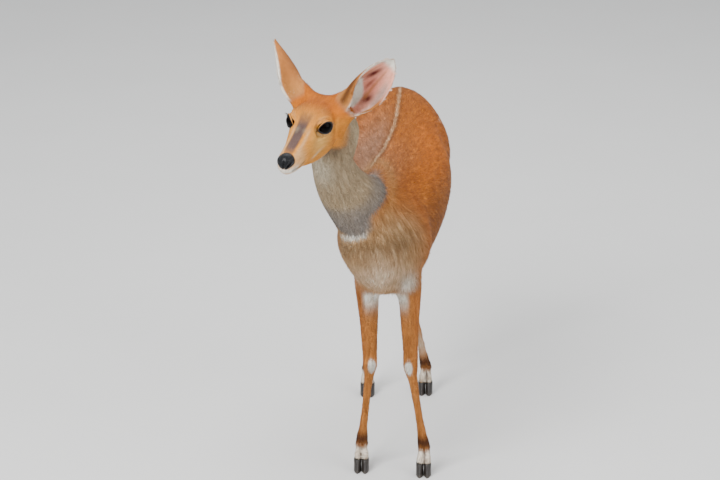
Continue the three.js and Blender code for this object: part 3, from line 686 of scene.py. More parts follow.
def eye_frame(sign):
    """The eye's place in the head's frame and its three axes."""
    turned = turn("z", -sign * GAZE) @ turn("y", -sign * LIFT)
    basis = np.array([(0, -1, 0), (0, 0, 1), (sign, 0, 0)], float).T
    return EYE * (sign, 1, 1), (turned @ basis).T


def from_eye(sign, points):
    place, axes = eye_frame(sign)
    return from_head(points @ axes + place)


def to_eye(sign, points):
    place, axes = eye_frame(sign)
    return (to_head(points) - place) @ axes.T


def almond(angle, grow=1.0):
    """A point of the edge of the lids, at an angle round it: an ellipse with one corner drawn out."""
    length, height, corner = ALMOND
    c, s = np.cos(angle), np.sin(angle)
    u, v = grow * length * (c + corner * np.maximum(c, 0) ** 3), grow * height * s
    return u * TILT_COS + v * TILT_SIN, v * TILT_COS - u * TILT_SIN


def in_almond(x, y):
    """How far out of the opening a point is, 1 at the lids' edge."""
    length, height, corner = ALMOND
    u, v = x * TILT_COS - y * TILT_SIN, x * TILT_SIN + y * TILT_COS
    far = np.hypot(u / length, v / height)
    ahead = np.maximum(u / length / np.maximum(far, 1e-6), 0)
    return far / (1 + corner * ahead ** 3)


def ball_height(x, y, radius):
    return np.sqrt(np.maximum(radius ** 2 - x * x - y * y, 12))


# Carving the skin

NOSE_PLACE = np.array([0.0, -214.0, -8.0])
NOSE_SIZE = np.array([18.0, 18.0, 17.0])
MOUTH = {"corner": 0.72, "front": 0.975, "level": -22, "reach": 2.0, "deep": 2.8}
LIP_SWELL, EYE_BED = 0.9, 3.0  # how far the lips stand out beside the mouth, and the eyes' beds lie in
RIB_SPACING = 21


def both(at, reach, out):
    """The same hill on either side."""
    return (at, reach, out), ((-at[0], *at[1:]), reach, out)


# Small soft hills of bone and muscle over the solids: place, reach and how far out, in the animal's frame
HILLS = [
    ((88, 60, 640), (22, 70, 60), 3.0),  # edge of the left shoulder blade
    ((-112, 60, 640), (22, 70, 60), 3.0),
    ((85, 30, 500), (30, 30, 34), 3.5),  # left elbow and upper arm
    ((-92, 38, 500), (30, 30, 34), 3.5),
    *both((70, 450, 705), (26, 30, 26), 4.0),  # points of the hips
    ((0, 300, 715), (13, 260, 22), 1.6),  # ridge of the spine
    *both((96, 400, 520), (40, 26, 60), 4.0),  # fold from the stifle to the flank
    ((-100, -120, 680), (26, 26, 60), -2.0),  # hollow down the front of the throat
    ((-72, -128, 852), (26, 30, 30), 5.0),  # muscle behind the jaw
]
# The same in each leg's own terms: away from the body, before the middle line and up; reaches; how far out
FORE_HILLS = [
    ((0, 16, 256), (13, 10, 13), 2.2),  # knee
    ((9, 4, 238), (8, 10, 9), -1.0),
    ((0, -16, 272), (9, 8, 14), 2.0),  # bone at the back of the knee
    *both((12, -4, 150), (5, 8, 70), -1.4),  # groove between the shin and the tendon
    ((0, -15, 66), (9, 8, 10), 2.4),  # back of the fetlock
    ((15, 6, 440), (14, 22, 46), 2.5),  # muscle outside the forearm
]
HIND_HILLS = [
    ((0, -20, 330), (9, 9, 34), 2.5),  # tendon above the hock
    *both((13, -8, 352), (7, 12, 40), -3.2),  # hollow before that tendon
    ((0, -18, 302), (9, 9, 10), 3.0),  # point of the hock
    *both((12, -3, 160), (5, 8, 70), -1.4),  # groove before the tendon
    ((0, -14, 66), (9, 8, 10), 2.2),  # back of the fetlock
    ((30, 20, 500), (30, 40, 50), 3.5),  # muscle of the thigh
]


def hilly(points, hills):
    """How far out a set of hills lifts each point."""
    return sum(size * np.exp(-(((points - np.array(at)) / np.array(reach, float)) ** 2).sum(-1))
               for at, reach, size in hills)


def mouth_line():
    """The closed mouth from one corner round the muzzle to the other, in the head's frame."""
    share = np.linspace(-1, 1, 121)
    part = MOUTH["front"] - (MOUTH["front"] - MOUTH["corner"]) * np.abs(share) ** 1.3
    along = HEAD["along"][0] + (HEAD["along"][-1] - HEAD["along"][0]) * part
    points = head_point(along, np.radians(MOUTH["level"]))
    points[:, 0] *= np.sign(share) * np.minimum(1, 5 * np.abs(share))
    return points


def distance_to_line(points, line):
    """The distance of each point to a line of close points, and how far along the line that is."""
    best, where = np.full(len(points), np.inf), np.zeros(len(points))
    for k, p in enumerate(line):
        d = np.linalg.norm(points - p, axis=1)
        nearer = d < best
        best[nearer], where[nearer] = d[nearer], k / (len(line) - 1)
    return best, where


def coat_depth(place):
    """How far under the coat's outer face the skin lies: deep at the breast and tail, least on the ears."""
    depth = 2.6 - 1.3 * place.head - 1.0 * place.leg
    depth = depth + 3.5 * breast(place) + 2.0 * place.tail
    return depth * (1 - 0.9 * place.ear) * (1 - 0.8 * hoof_top(place))


def breast(place):
    """The lower breast, where the coat is longest."""
    return fall(place.z, 480, 580) * fall(place.y, -40, 120) * (1 - place.leg)


def hoof_top(place):
    return fall(place.z, 36, 52)


def carve_head(points, place, way):
    """The line of the mouth, the socket round each eye and the nose's bed."""
    local = to_head(points)
    near = place.head > 0.05
    gap = np.full(len(points), 1e3)
    lips = near & (place.along > 140)
    gap[lips] = distance_to_line(local[lips], mouth_line())[0]
    out = -MOUTH["deep"] * bell(gap, MOUTH["reach"]) + LIP_SWELL * bell(gap - 4.2, 2.4)
    moved = points + way * (out * (gap < 20))[:, None]
    for sign in (1, -1):
        x, y, z = to_eye(sign, moved).T
        far = in_almond(x, y)
        here = near & (z > 0) & (far < 2.6) & (sign * local[:, 0] > 0)
        bed = ball_height(x, y, EYE_RADIUS) - EYE_BED * fall(far, 0.92, 1.1) + 0.35 * ramp(far, 1.12, 1.34)
        blend = fall(far, 1.3, 2.1)
        crease = -0.7 * bell((far - 1.75) / 0.2, 1) * ramp(y, 0, 8)
        z = np.where(here, z + (bed - z) * blend + crease, z)
        moved = np.where(here[:, None], from_eye(sign, np.stack([x, y, z], -1)), moved)
    size = NOSE_SIZE - 1.2
    offset = (to_head(moved) - NOSE_PLACE) / size
    inside = np.linalg.norm(offset, axis=1)
    sunk = NOSE_PLACE + offset / np.maximum(inside, 1e-6)[:, None] * np.minimum(inside, 0.8)[:, None] * size
    return np.where((inside < 1)[:, None] & near[:, None], from_head(sunk), moved)


def carve_body(points, place, way):
    """The small hills of bone and muscle, and the ribs as faint waves."""
    out = hilly(points, HILLS)
    waves = np.cos(place.y / RIB_SPACING * 2 * np.pi + place.z / 60)
    out = out + 0.5 * waves * ramp(place.y, 110, 180) * fall(place.y, 300, 380) * bell(place.z - 570, 70)
    for name, (across, before, own) in place.legs.items():
        local = np.stack([across * side_of(name), before, place.z], -1)
        hills = FORE_HILLS if name.startswith("fore") else HIND_HILLS
        out = out + hilly(local, hills) * (own > 0)
    return points + way * (out * (1 - place.head) * (1 - place.ear))[:, None]


def settle_ears(points, place):
    """Points of the ears laid back on the leaf's two sheets, with ridges and furrows down the inner one."""
    moved = points
    for name, (s, t, lift, near) in place.ears.items():
        edge = np.where(np.abs(t) > 0.955, np.sign(t), t)
        tip = np.where(s > 0.985, 1.0, s)
        wall = EAR_WALL / 2 * thinned(edge)
        folds = 1.3 * np.cos(t * 11) * fall(np.abs(t), 0.7, 0.95) * ramp(s, 0.25, 0.4) * fall(s, 0.8, 0.97)
        sheet = np.where(lift < 0, -wall - folds, wall)
        share = (near * np.where(lift < 0, ramp(s, 0.2, 0.3), ramp(s, 0.3, 0.44)))[:, None]
        laid = from_ear(name, leaf_point(tip, edge, sheet, EARS[name][2]))
        moved = np.where(share > 0, moved + share * (laid - moved), moved)
    return moved


def make_skin():
    """The finished skin: merged, smoothed where forms meet, carved, and set in by the coat's depth."""
    points, quads, tris = merged_flesh()
    edges = edges_of(quads, tris)
    place = Place(points)
    fine = np.clip(place.head + place.ear, 0, 1)
    slim = np.clip(1 - ramp(place.z, 60, 110) + place.tail, 0, 1)
    points = smoothed(points, edges, 0.6 - 0.3 * fine - 0.4 * slim, 4)
    # Where the legs, the neck and the tail leave the trunk
    joints = (1 - fine) * np.clip(bell(place.z - 455, 75) * bell(place.y - 20, 110)
                                  + bell(place.z - 520, 95) * bell(place.y - 480, 130)
                                  + bell(place.z - 655, 75) * bell(place.y + 20, 90)
                                  + bell(place.z - 690, 45) * bell(place.y - 610, 45), 0, 1)
    points = smoothed(points, edges, 0.7 * joints, 26)
    # The creases round the ears' roots, but not the leaves themselves
    local = to_head(points)
    roots = np.minimum(*(np.linalg.norm(local - EAR_PLACE * (sign, 1, 1), axis=1) for sign in (1, -1)))
    leaf = np.maximum(*(near * (lift < 0.5) * ramp(s, 0.1, 0.16) + near * ramp(s, 0.36, 0.46)
                        for s, _, lift, near in place.ears.values()))
    saddle = (1 - np.clip(leaf, 0, 1)) * fall(roots, 44, 72) * (place.z > 850) * fall(place.along, 40, 62)
    points = filled(points, quads, tris, 0.85 * saddle, 120)
    points = smoothed(points, edges, 0.6 * saddle, 8)
    nape = (1 - place.ear) * bell(place.along - 4, 22) * (place.z > 780) * ramp(roots, 30, 60)
    points = smoothed(points, edges, 0.6 * nape, 12)
    throat = bell(place.z - 640, 50) * bell(place.y + 95, 50) * (1 - fine)
    points = smoothed(points, edges, 0.7 * throat, 40)
    points = settle_ears(points, Place(points))
    points = carve_body(points, Place(points), normals_of(points, quads, tris))
    way = normals_of(points, quads, tris)
    points = points - way * coat_depth(Place(points))[:, None]
    place = Place(points)
    points = carve_head(points, place, normals_of(points, quads, tris))
    points = smoothed(points, edges, 0.25 * place.head, 2)
    return points, quads, tris


# Coat colours, in sRGB from 0 to 255 as they look in plain light, with some painted shade among them, named
# so; all are made linear when they are used

def hue(red, green, blue):
    return (np.array([red, green, blue]) / 255) ** 2.2


RUST = hue(188, 108, 42)
RUST_BRIGHT = hue(218, 120, 38)
LOW_FLANK_BROWN_AND_SHADE = hue(138, 86, 40)
GOLD = hue(204, 152, 92)
MAUVE = hue(168, 128, 102)
BELLY_BROWN_AND_SHADE = hue(150, 114, 80)
BREAST = hue(190, 150, 106)
BREAST_BROWN = hue(116, 92, 68)
BREAST_PALE = hue(244, 214, 182)
NECK_TAN = hue(168, 146, 116)
NECK_PALE = hue(204, 192, 168)
NECK_PAINTED_SHADE = hue(92, 74, 56)
COLLAR_SLATE_AND_SHADE = hue(140, 128, 116)
COLLAR_EDGE = hue(122, 114, 108)
WHITE = hue(238, 232, 218)
CREAM = hue(232, 210, 168)
OCHRE = hue(228, 148, 58)
OCHRE_PALE = hue(244, 188, 104)
CROWN = hue(196, 108, 36)
BROW = hue(160, 116, 76)
BRIDGE = hue(92, 78, 78)
DARK_MARK_AND_SHADE = hue(40, 28, 22)
LIP_DARK = hue(30, 24, 23)
LID_DARK = hue(20, 15, 13)
IRIS = hue(14, 8, 6)
EYE_EDGE = hue(5, 4, 4)
PUPIL = hue(1, 1, 2)
LEG = hue(190, 122, 64)
LEG_OUTER = hue(186, 110, 52)
LEG_PALE = hue(206, 146, 88)
FETLOCK_DARK_AND_CLEFT_SHADE = hue(64, 36, 28)
PASTERN_PALE = hue(232, 218, 198)
EAR_PINK = hue(252, 178, 154)
EAR_FLUSH = hue(226, 128, 104)
EAR_MAROON = hue(84, 12, 16)
EAR_REAR_SHADE = hue(170, 150, 140)
EAR_BACK_TAN = hue(186, 118, 62)
EAR_BACK_PALE = hue(206, 142, 78)
EAR_BACK_DARK = hue(132, 86, 58)
EAR_EDGE_BROWN = hue(78, 46, 28)
THIGH_WHITE = hue(220, 204, 180)
TAIL_BROWN = hue(150, 92, 48)


# Pale spots on the haunches: how far back and how high
SPOTS = [(478, 668), (498, 632), (520, 662), (484, 600), (528, 604), (548, 640), (500, 578)]
# Each ear's outer side: how strong its brown front strip is and where its white rim starts
EAR_RIMS = {"left": (0.85, 0.87), "right": (0.3, 0.76)}
NECK_LIE = (0.22, 0.42, -0.88)


def mix(first, other, share):
    """One colour or direction laid over another by a share at each point."""
    return first + (other - first) * np.clip(share, 0, 1)[:, None]


def layered(first, *layers):
    """Several colours or directions laid over the first in turn, each by its own share."""
    for other, share in layers:
        first = mix(first, other, share)
    return first


def haunch(place):
    """The buttock and the back of the thigh, where the hair hangs."""
    return ramp(place.y, 430, 540) * fall(place.z, 560, 700)


def spine_line(y):
    """How far to the left of the middle the line of the back runs, as the back bends a little."""
    return np.interp(y, (20, 66, 139, 233, 311, 416), (-48, -40, -26, -12, -2, 2))


def body_colour(place, way):
    """Rust, mauve along the back and brown below, with the breast, the buttocks and all the white marks,
    and painted shade on the lower flanks, on faces turned down and between the forelegs.
    """
    x, y, z = place.x, place.y, place.z
    beside = x - spine_line(y)
    front = fall(y, -66, 50) * fall(z, 600, 680)
    back = ramp(z, 650, 690) * ramp(y, 30, 70)
    colour = layered(
        RUST,
        (RUST_BRIGHT, 0.85 * bell(y - 280, 190) * ramp(z, 590, 660) * ramp(np.abs(x), 20, 80)),
        (MAUVE, 0.8 * ramp(z, 625, 685) * fall(y, 190, 480) * ramp(-beside, -14, 22)),
        (MAUVE, 0.3 * ramp(z, 655, 700) * fall(y, 20, 300)),
        # Lower flanks browner: partly the coat's own tone, partly painted shade under the body's curve
        (LOW_FLANK_BROWN_AND_SHADE, 0.6 * fall(z, 545, 650) * ramp(y, 10, 90)),
        (GOLD, 0.45 * bell(place.up_neck + 22, 20) * ramp(z, 600, 640)),
        (BREAST, front),
        (BREAST_BROWN, 0.5 * front * bell(z - 578, 24)),
        (BELLY_BROWN_AND_SHADE, fall(z, 430, 500) * ramp(y, -10, 60)),
        # Painted shade: faces turned downwards take the belly's brown
        (BELLY_BROWN_AND_SHADE, 0.6 * fall(way[:, 2], -0.75, -0.15) * ramp(y, 0, 60)),
        (BREAST_PALE, 0.85 * bell(x + 20, 42) * bell(z - 510, 38) * fall(y, -70, -30)),
        *((WHITE, 0.9 * bell(x - tuft, 16) * bell(z - 470, 30) * fall(y, -20, 10)) for tuft in (38, -94)),
        # Painted shadow in the gap between the forelegs below the breast
        (DARK_MARK_AND_SHADE, 0.6 * bell(x - 14, 13) * bell(z - 448, 20) * fall(y, -10, 30)),
        (THIGH_WHITE, 0.85 * ramp(y, 560, 620) * fall(np.abs(x), 34, 66) * fall(z, 600, 660)),
        (DARK_MARK_AND_SHADE, 0.36 * bell(np.abs(beside) - 5.5, 3.5) * back),
        (CREAM, 0.42 * bell(beside, 2.4) * back),
        *((WHITE, 0.75 * fall(np.hypot(y - sy, z - sz), 3.5, 8) * (np.abs(x) > 50)) for sy, sz in SPOTS),
    )
    crescent = fall(np.abs(z - 598 - 0.31 * (x + 75)), 3.2, 7.5) * fall(np.abs((x + 76) / 32), 0.7, 1.1)
    return mix(colour, WHITE, 0.9 * crescent * (y < -20))


def neck_colour(place):
    """Short greyish hair: tan in front, slate round the foot deepened by painted shade, pale at the throat,
    painted shade up the nape and under the jaw.
    """
    x, y, z = place.x, place.y, place.z
    middle = read(NECK, "z", np.clip(z, 600, 900))
    left = (x - middle["x"]) / middle["half"]
    back = (y - middle["y"]) / middle["half"]
    shade = fall(place.along, 96, 120) * ramp(place.above, -112, -84) * ramp(place.along, -20, 10)
    return layered(
        NECK_TAN,
        # The slate collar is the neck's own colour, spread higher up the lower neck as painted shade too
        (COLLAR_SLATE_AND_SHADE, 0.9 * fall(place.up_neck, 36, 78)),
        (COLLAR_EDGE, 0.8 * fall(place.up_neck, 8, 34)),
        (NECK_PALE, 0.8 * bell(z - 762, 30) * bell(left + 0.55, 0.6) * ramp(-back, 0.2, 0.7)),
        (MAUVE, 0.8 * ramp(back, 0.3, 0.9) * ramp(z, 690, 740)),
        # Painted shade on the far side of the nape, then under the jaw
        (NECK_PAINTED_SHADE, 0.85 * bell(left - 0.75, 0.22) * bell(back - 0.4, 0.4) * ramp(z, 730, 790)),
        (NECK_PAINTED_SHADE, 0.65 * shade * ramp(z, 770, 800)),
        (CREAM, 0.6 * bell(left - 0.98, 0.14) * bell(back + 0.05, 0.3) * bell(z - 830, 36)),
    )


def head_colour(place):
    """Orange crown and cheeks, paler under the eye and along the jaw, a slate bridge and white lips, with
    painted shade under the jaw.
    """
    side, along, above = place.side, place.along, place.above
    out = np.abs(side)
    smudges = [bell(out - middle, width) * bell(along - 108 + 1.3 * middle, 14) * ramp(above, 24, 34)
               for middle, width in ((6, 13), (28, 11))]
    bridge = fall(np.abs(side + 2), 8, 12.5 + 5 * bell(along - 96, 18)) * ramp(above, 0, 10)
    cheek_streak = bell(along - 121, 15) * bell(above + 33 + 0.35 * (along - 121), 4.5) * ramp(out, 16, 24)
    colour = layered(
        OCHRE,
        (CROWN, fall(along, 46, 100) * ramp(above, 0, 30)),
        (OCHRE_PALE, 0.9 * bell(along - 112, 34) * bell(above + 8, 24) * ramp(out, 14, 26)),
        (CREAM, 0.35 * ramp(along, 150, 190) * ramp(out, 8, 16) * fall(above, 0, 14)),
        (CROWN, 0.5 * bell(along - 56, 26) * bell(above + 18, 20)),
        (CREAM, 0.75 * cheek_streak),
        (CREAM, 0.6 * bell(along - 62, 26) * bell(above + 66, 7)),
        # Painted shade under the jaw
        (NECK_PAINTED_SHADE, 0.7 * fall(above, -80, -70) * fall(along, 110, 150)),
        (BROW, 0.38 * smudges[0]),
        (BROW, 0.3 * smudges[1]),
        (BRIDGE, 0.95 * bridge * ramp(along, 84, 126)),
        (CREAM, 0.35 * bell(out - 16, 2.8) * ramp(along, 112, 140) * ramp(above, -2, 8)),
        (CREAM, 0.25 * bell(out - 9, 5) * bell(along - 134, 7) * ramp(above, 8, 16)),
    )
    for sign in (1, -1):
        x, y, z = to_eye(sign, place.points).T
        own = (sign * side > 0) * (z > -4)
        far = in_almond(x, y)
        tear = bell(y + 5 + 0.42 * (x - 16), 1.7) * ramp(x, 13, 17) * fall(x, 24, 32)
        colour = layered(
            colour,
            (CREAM, 0.22 * own * bell(far - 1.62, 0.22) * ramp(y, 2, 8) * ramp(x, -14, 4)),
            (CREAM, 0.4 * own * bell(far - 1.5, 0.22) * (y < 2)),
            (DARK_MARK_AND_SHADE, 0.9 * own * tear),
            (LID_DARK, own * fall(far, 1.1, 1.26)),
        )
    lips = distance_to_line(place.in_head, mouth_line())[0]
    return layered(
        colour,
        (WHITE, 0.95 * ramp(along, 192, 214) * bell(above + 24, 8)),
        (NECK_PALE, 0.8 * ramp(along, 176, 200) * fall(above, -40, -33)),
        (LIP_DARK, bell(lips, 3.2) * ramp(along, 160, 178)),
    )


def ear_colour(place):
    """Inside: pink with dark red furrows, a broad white front band and a white rim, with painted shade in
    the rear of the cup and at its root; outside: tan.
    """
    colour = EAR_BACK_TAN
    for name, (s, t, lift, near) in place.ears.items():
        front = -t * SIDES[name]
        inner = near * fall(lift, -0.6, 0.4)
        edge = np.interp(s, (0.2, 0.38, 0.46, 0.58, 0.75), (-0.34, -0.28, -0.14, 0.3, 0.58))
        strip, white_from = EAR_RIMS[name]
        inside = layered(
            EAR_PINK,
            (EAR_FLUSH, 0.6 * bell(front + 0.2, 0.35) * bell(s - 0.56, 0.16)),
            # Painted shade: grey in the rear part of the cup
            (EAR_REAR_SHADE, 0.8 * bell(front + 0.68, 0.17) * ramp(s, 0.32, 0.42) * fall(s, 0.62, 0.8)),
            (EAR_MAROON, 0.97 * bell(front - 0.1 + 0.5 * (s - 0.68), 0.12) * bell(s - 0.7, 0.13)),
            (EAR_MAROON, 0.6 * bell(front + 0.13, 0.06) * bell(s - 0.56, 0.1)),
            (EAR_MAROON, 0.92 * bell(front + 0.39 + 0.7 * (s - 0.41), 0.11) * bell(s - 0.4, 0.085)),
            # Painted shade deep in the cup at its root
            (DARK_MARK_AND_SHADE, 0.8 * fall(s, 0.12, 0.22) * (np.abs(front) < 0.6)),
            (WHITE, ramp(front - edge, 0, 0.1) * ramp(s, 0.1, 0.2)),
            (WHITE, 0.55 * fall(s, 0.3, 0.44) * ramp(-front, 0.5, 0.7) * ramp(s, 0.14, 0.2)),
            (WHITE, ramp(s, 0.86, 0.94)),
            (WHITE, 0.85 * ramp(-front, 0.86, 0.96)),
        )
        outside = layered(
            EAR_BACK_TAN,
            (EAR_BACK_PALE, 0.7 * fall(s, 0.2, 0.5)),
            (EAR_BACK_DARK, 0.7 * bell(t, 0.4) * bell(s - 0.62, 0.26)),
            (EAR_EDGE_BROWN, strip * bell(front - 0.66, 0.16) * fall(s, 0.45, 0.75)),
            (WHITE, 0.95 * ramp(np.abs(t), white_from, white_from + 0.07)),
        )
        colour = layered(colour, (outside, near * (1 - inner)), (inside, inner))
    return colour


def leg_colour(place, name):
    """One leg: tan, paler inside, with white patches, a dark fetlock, a pale pastern and a painted shadow
    line in the cleft between the toes.
    """
    across, before, _ = place.legs[name]
    z = place.z
    inward = -across * side_of(name)
    if name.startswith("fore"):
        reach_in = ramp(inward, -16, -2) if name.endswith("right") else ramp(inward, -4, 9)
        knee = np.hypot((inward - 4) / 9, (z - 256) / 18)
        marks = [
            (WHITE, 0.95 * bell(z - 424, 28) * reach_in * ramp(before, -24, 0)),
            (WHITE, 0.97 * fall(knee, 0.7, 1.1) * (before > 2)),
        ]
    else:
        marks = [
            (THIGH_WHITE, 0.8 * ramp(z, 300, 420) * ramp(inward, 2, 16)),
            (THIGH_WHITE, 0.7 * bell(z - 118, 26) * ramp(before, -4, 8)),
        ]
    return layered(
        LEG,
        (LEG_OUTER, 0.5 * ramp(-inward, 3, 15)),
        (LEG_PALE, 0.5 * ramp(inward, 2, 14) * (z < 230)),
        *marks,
        (FETLOCK_DARK_AND_CLEFT_SHADE, 0.9 * bell(z - 74, 17) * ramp(-before, -15, 6)),
        (FETLOCK_DARK_AND_CLEFT_SHADE, 0.9 * bell(z - 76, 14)),
        (PASTERN_PALE, 0.95 * fall(z, 52, 62) * ramp(before, -10, 2)),
        # Painted shadow line in the cleft between the toes
        (FETLOCK_DARK_AND_CLEFT_SHADE, 0.8 * bell(across, 2.2) * fall(z, 50, 62) * ramp(before, -4, 4)),
    )


def coat_colour(place, way):
    """The coat's colour anywhere on the animal, for the skin and for the roots of its hair alike."""
    return layered(
        body_colour(place, way),
        (neck_colour(place), place.neck),
        *((leg_colour(place, name), own) for name, (_, _, own) in place.legs.items()),
        (head_colour(place), place.head),
        (ear_colour(place), place.ear),
        (mix(TAIL_BROWN, WHITE, fall(place.y, 640, 648)), place.tail),
    )


# Streaks of lighter and darker hair, drawn out along the lie

def lattice(coords, table):
    """Random values on a lattice of whole numbers, blended between the eight corners round each point."""
    cell = np.floor(coords).astype(int)
    f = coords - cell
    f = f * f * (3 - 2 * f)
    total = np.zeros(len(coords))
    for corner in np.ndindex(2, 2, 2):
        a, b, c = (cell + corner).T
        pick = (a * 73856093 ^ b * 19349663 ^ c * 83492791) & (len(table) - 1)
        total += table[pick] * np.prod(np.where(corner, f, 1 - f), axis=1)
    return total


def streaks(place, fine, long, seed):
    """Values round 0, as wide as fine and as long as long, along the lie of each part of the body."""
    table = np.random.default_rng(seed).normal(0, 1.6, 4096)

    def drawn(points, along, scale=1.0):
        along = unit(np.array(along, float))
        across = unit(np.cross(along, (0.31, 0.2, 0.93) if abs(along[2]) < 0.8 else (1, 0.2, 0)))
        local = points @ np.stack([across, np.cross(along, across), along], -1)
        return lattice(local / (fine * scale, fine * scale, long * scale) + 500, table)

    made = drawn(place.points, (0, 0.93, -0.36))
    in_head = np.stack([place.side, place.along, place.above], -1)
    for other, share in (
        (drawn(place.points, (0.3, 0.15, -0.94)), fall(place.y, -40, 60)),
        (drawn(place.points, (0, 0.12, -1)), np.clip(haunch(place) + place.leg + place.tail, 0, 1)),
        (drawn(place.points, NECK_LIE, 0.7), place.neck),
        (drawn(in_head, (0, 1, 0.1), 0.6), np.clip(place.head + place.ear, 0, 1)),
    ):
        made = made + (other - made) * share
    return made


def streaked(colour, place):
    """A coat colour with its streaks: the light ones paler as well, the dark ones browner."""
    how_much = 1 - 0.6 * place.head - 0.55 * place.neck - 0.35 * place.leg - 0.6 * place.ear
    tone = how_much * (0.17 * streaks(place, 2.2, 20, 5) + 0.08 * streaks(place, 7, 60, 6))
    return colour * np.exp(tone[:, None] * np.array([0.85, 1.05, 1.3]))


# Shader maths

class Value:
    """A socket that can be used in Python expressions; each operation adds a node."""

    def __init__(self, tree, socket):
        self.tree, self.socket = tree, socket

    def node(self, kind, settings=None, **inputs):
        """A new node: its settings are set first, then its sockets, by name or by number as in_0."""
        made = self.tree.nodes.new("ShaderNode" + kind)
        for key, value in (settings or {}).items():
            setattr(made, key, value)
        for key, value in inputs.items():
            target = made.inputs[int(key[3:]) if key.startswith("in_") else key.replace("_", " ")]
            if isinstance(value, Value):
                self.tree.links.new(value.socket, target)
            else:
                target.default_value = value
        return made

    def out(self, kind, settings=None, output=0, **inputs):
        return Value(self.tree, self.node(kind, settings, **inputs).outputs[output])

    def math(self, operation, *values):
        return self.out("Math", {"operation": operation}, **{f"in_{k}": v for k, v in enumerate(values)})

    def __add__(self, other):
        return self.math("ADD", self, other)

    def __radd__(self, other):
        return self.math("ADD", other, self)

    def __sub__(self, other):
        return self.math("SUBTRACT", self, other)

    def __rsub__(self, other):
        return self.math("SUBTRACT", other, self)

    def __mul__(self, other):
        return self.math("MULTIPLY", self, other)

    def __rmul__(self, other):
        return self.math("MULTIPLY", other, self)

    def between(self, low, high):
        """0 below low, 1 above high, smooth between."""
        return self.out("MapRange", {"interpolation_type": "SMOOTHSTEP"}, in_0=self, in_1=low, in_2=high)

    def shade(self, low, high):
        """This value, from 0 to 1, spread from low to high."""
        return self * (high - low) + low

    def over(self, base, top):
        """The top colour laid over the base one by this value."""
        return self.out("Mix", {"data_type": "RGBA"}, output=2, in_0=self, in_6=base, in_7=top)


class Finish:
    """A material with one Principled shader, and the sockets that its maths starts from."""

    def __init__(self, name, **constants):
        self.material = bpy.data.materials.new(name)
        self.material.use_nodes = True
        self.tree = self.material.node_tree
        self.shader = self.tree.nodes["Principled BSDF"]
        for key, value in constants.items():
            self.shader.inputs[key.replace("_", " ")].default_value = value
        self.start = Value(self.tree, None)
        self.place = self.start.out("TexCoord", output=3)

    def set(self, socket, value):
        self.tree.links.new(value.socket, self.shader.inputs[socket])

    def colour(self, name="coat_colour"):
        return self.start.out("Attribute", {"attribute_name": name}, output=0)

    def noise(self, scale, detail=3, rough=0.55, place=None):
        place = place or self.place
        return place.out("TexNoise", in_0=place, Scale=scale, Detail=detail, Roughness=rough)

    def tinted(self, colour, amount):
        """A colour made lighter or darker by a value round 1."""
        grey = self.start.out("CombineColor", in_0=amount, in_1=amount, in_2=amount)
        return self.start.out("Mix", {"data_type": "RGBA", "blend_type": "MULTIPLY"}, output=2,
                              in_0=1.0, in_6=colour, in_7=grey)

    def bump(self, height, distance, strength=1.0):
        self.set("Normal", self.start.out("Bump", Height=height, Distance=distance, Strength=strength))


def skin_finish():
    """Skin under the coat: the coat's colours, darker in streaks as painted shade under the hair, with hair
    streaks in bump.
    """
    made = Finish("skin_and_short_hair", Roughness=0.85, Specular_IOR_Level=0.1)
    stretched = made.place.out("Mapping", in_0=made.place, in_3=(1, 0.25, 0.6))
    streak = made.noise(900, 2, 0.6, stretched)
    patchy = made.noise(38)
    # The colour darkened in streaks as painted shade under the hair
    made.set("Base Color", made.tinted(made.colour(), streak.shade(0.7, 1.0) * patchy.shade(0.85, 1.1)))
    made.bump(streak, 0.0012, 0.8)
    return made.material


def hair_finish():
    """Hair: each tuft's own colour, with finer variation along the coat and a soft gloss."""
    made = Finish("coat_hair", Roughness=0.6, Specular_IOR_Level=0.14)
    patchy = made.noise(46)
    fine = made.noise(700, 2)
    made.set("Base Color", made.tinted(made.colour(), patchy.shade(0.86, 1.14) * fine.shade(0.86, 1.14)))
    return made.material


def horn_finish():
    """Hoof horn: near black, greyer and scuffed towards the sole, with fine level growth rings."""
    made = Finish("hoof_horn", Specular_IOR_Level=0.45)
    height = made.place.out("SeparateXYZ", output=2, in_0=made.place)
    phase = height * 2200.0 + made.noise(60) * 5.0
    rings = phase.math("SINE", phase)
    grain = made.noise(260, 4, 0.6, made.place.out("Mapping", in_0=made.place, in_3=(1, 1, 0.2)))
    base = grain.over((0.008, 0.006, 0.005, 1), (0.028, 0.022, 0.018, 1))
    worn = (1 - height.between(0.001, 0.010)) * made.noise(140, 4).between(0.35, 0.65)
    made.set("Base Color", worn.over(base, (0.08, 0.066, 0.054, 1)))
    made.set("Roughness", worn.shade(0.42, 0.75))
    made.bump(rings * 0.4 + grain, 0.0004, 0.6)
    return made.material


def nose_finish():
    """The wet nose: black, pebbled by small cells, glossy, a little darker in the creases between the cells
    as painted shade.
    """
    made = Finish("nose_skin", Specular_IOR_Level=0.16, Coat_Weight=0.12, Coat_Roughness=0.2)
    cells = made.place.out("TexVoronoi", {"feature": "DISTANCE_TO_EDGE"}, in_0=made.place, Scale=620.0)
    pebble = cells.between(0.0, 0.22)
    # Painted shade: the creases between the cells darker
    made.set("Base Color", pebble.over((0.003, 0.003, 0.004, 1), (0.008, 0.009, 0.011, 1)))
    made.set("Roughness", made.noise(90).shade(0.22, 0.42))
    made.bump(pebble, 0.0007, 0.7)
    return made.material


def lid_finish():
    """The bare rims of the eyelids: darker than their own colours, finely wrinkled and slightly moist."""
    made = Finish("eyelid_rim", Roughness=0.42, Specular_IOR_Level=0.4)
    made.set("Base Color", made.tinted(made.colour(), 0.8))
    made.bump(made.noise(420), 0.0004, 0.6)
    return made.material


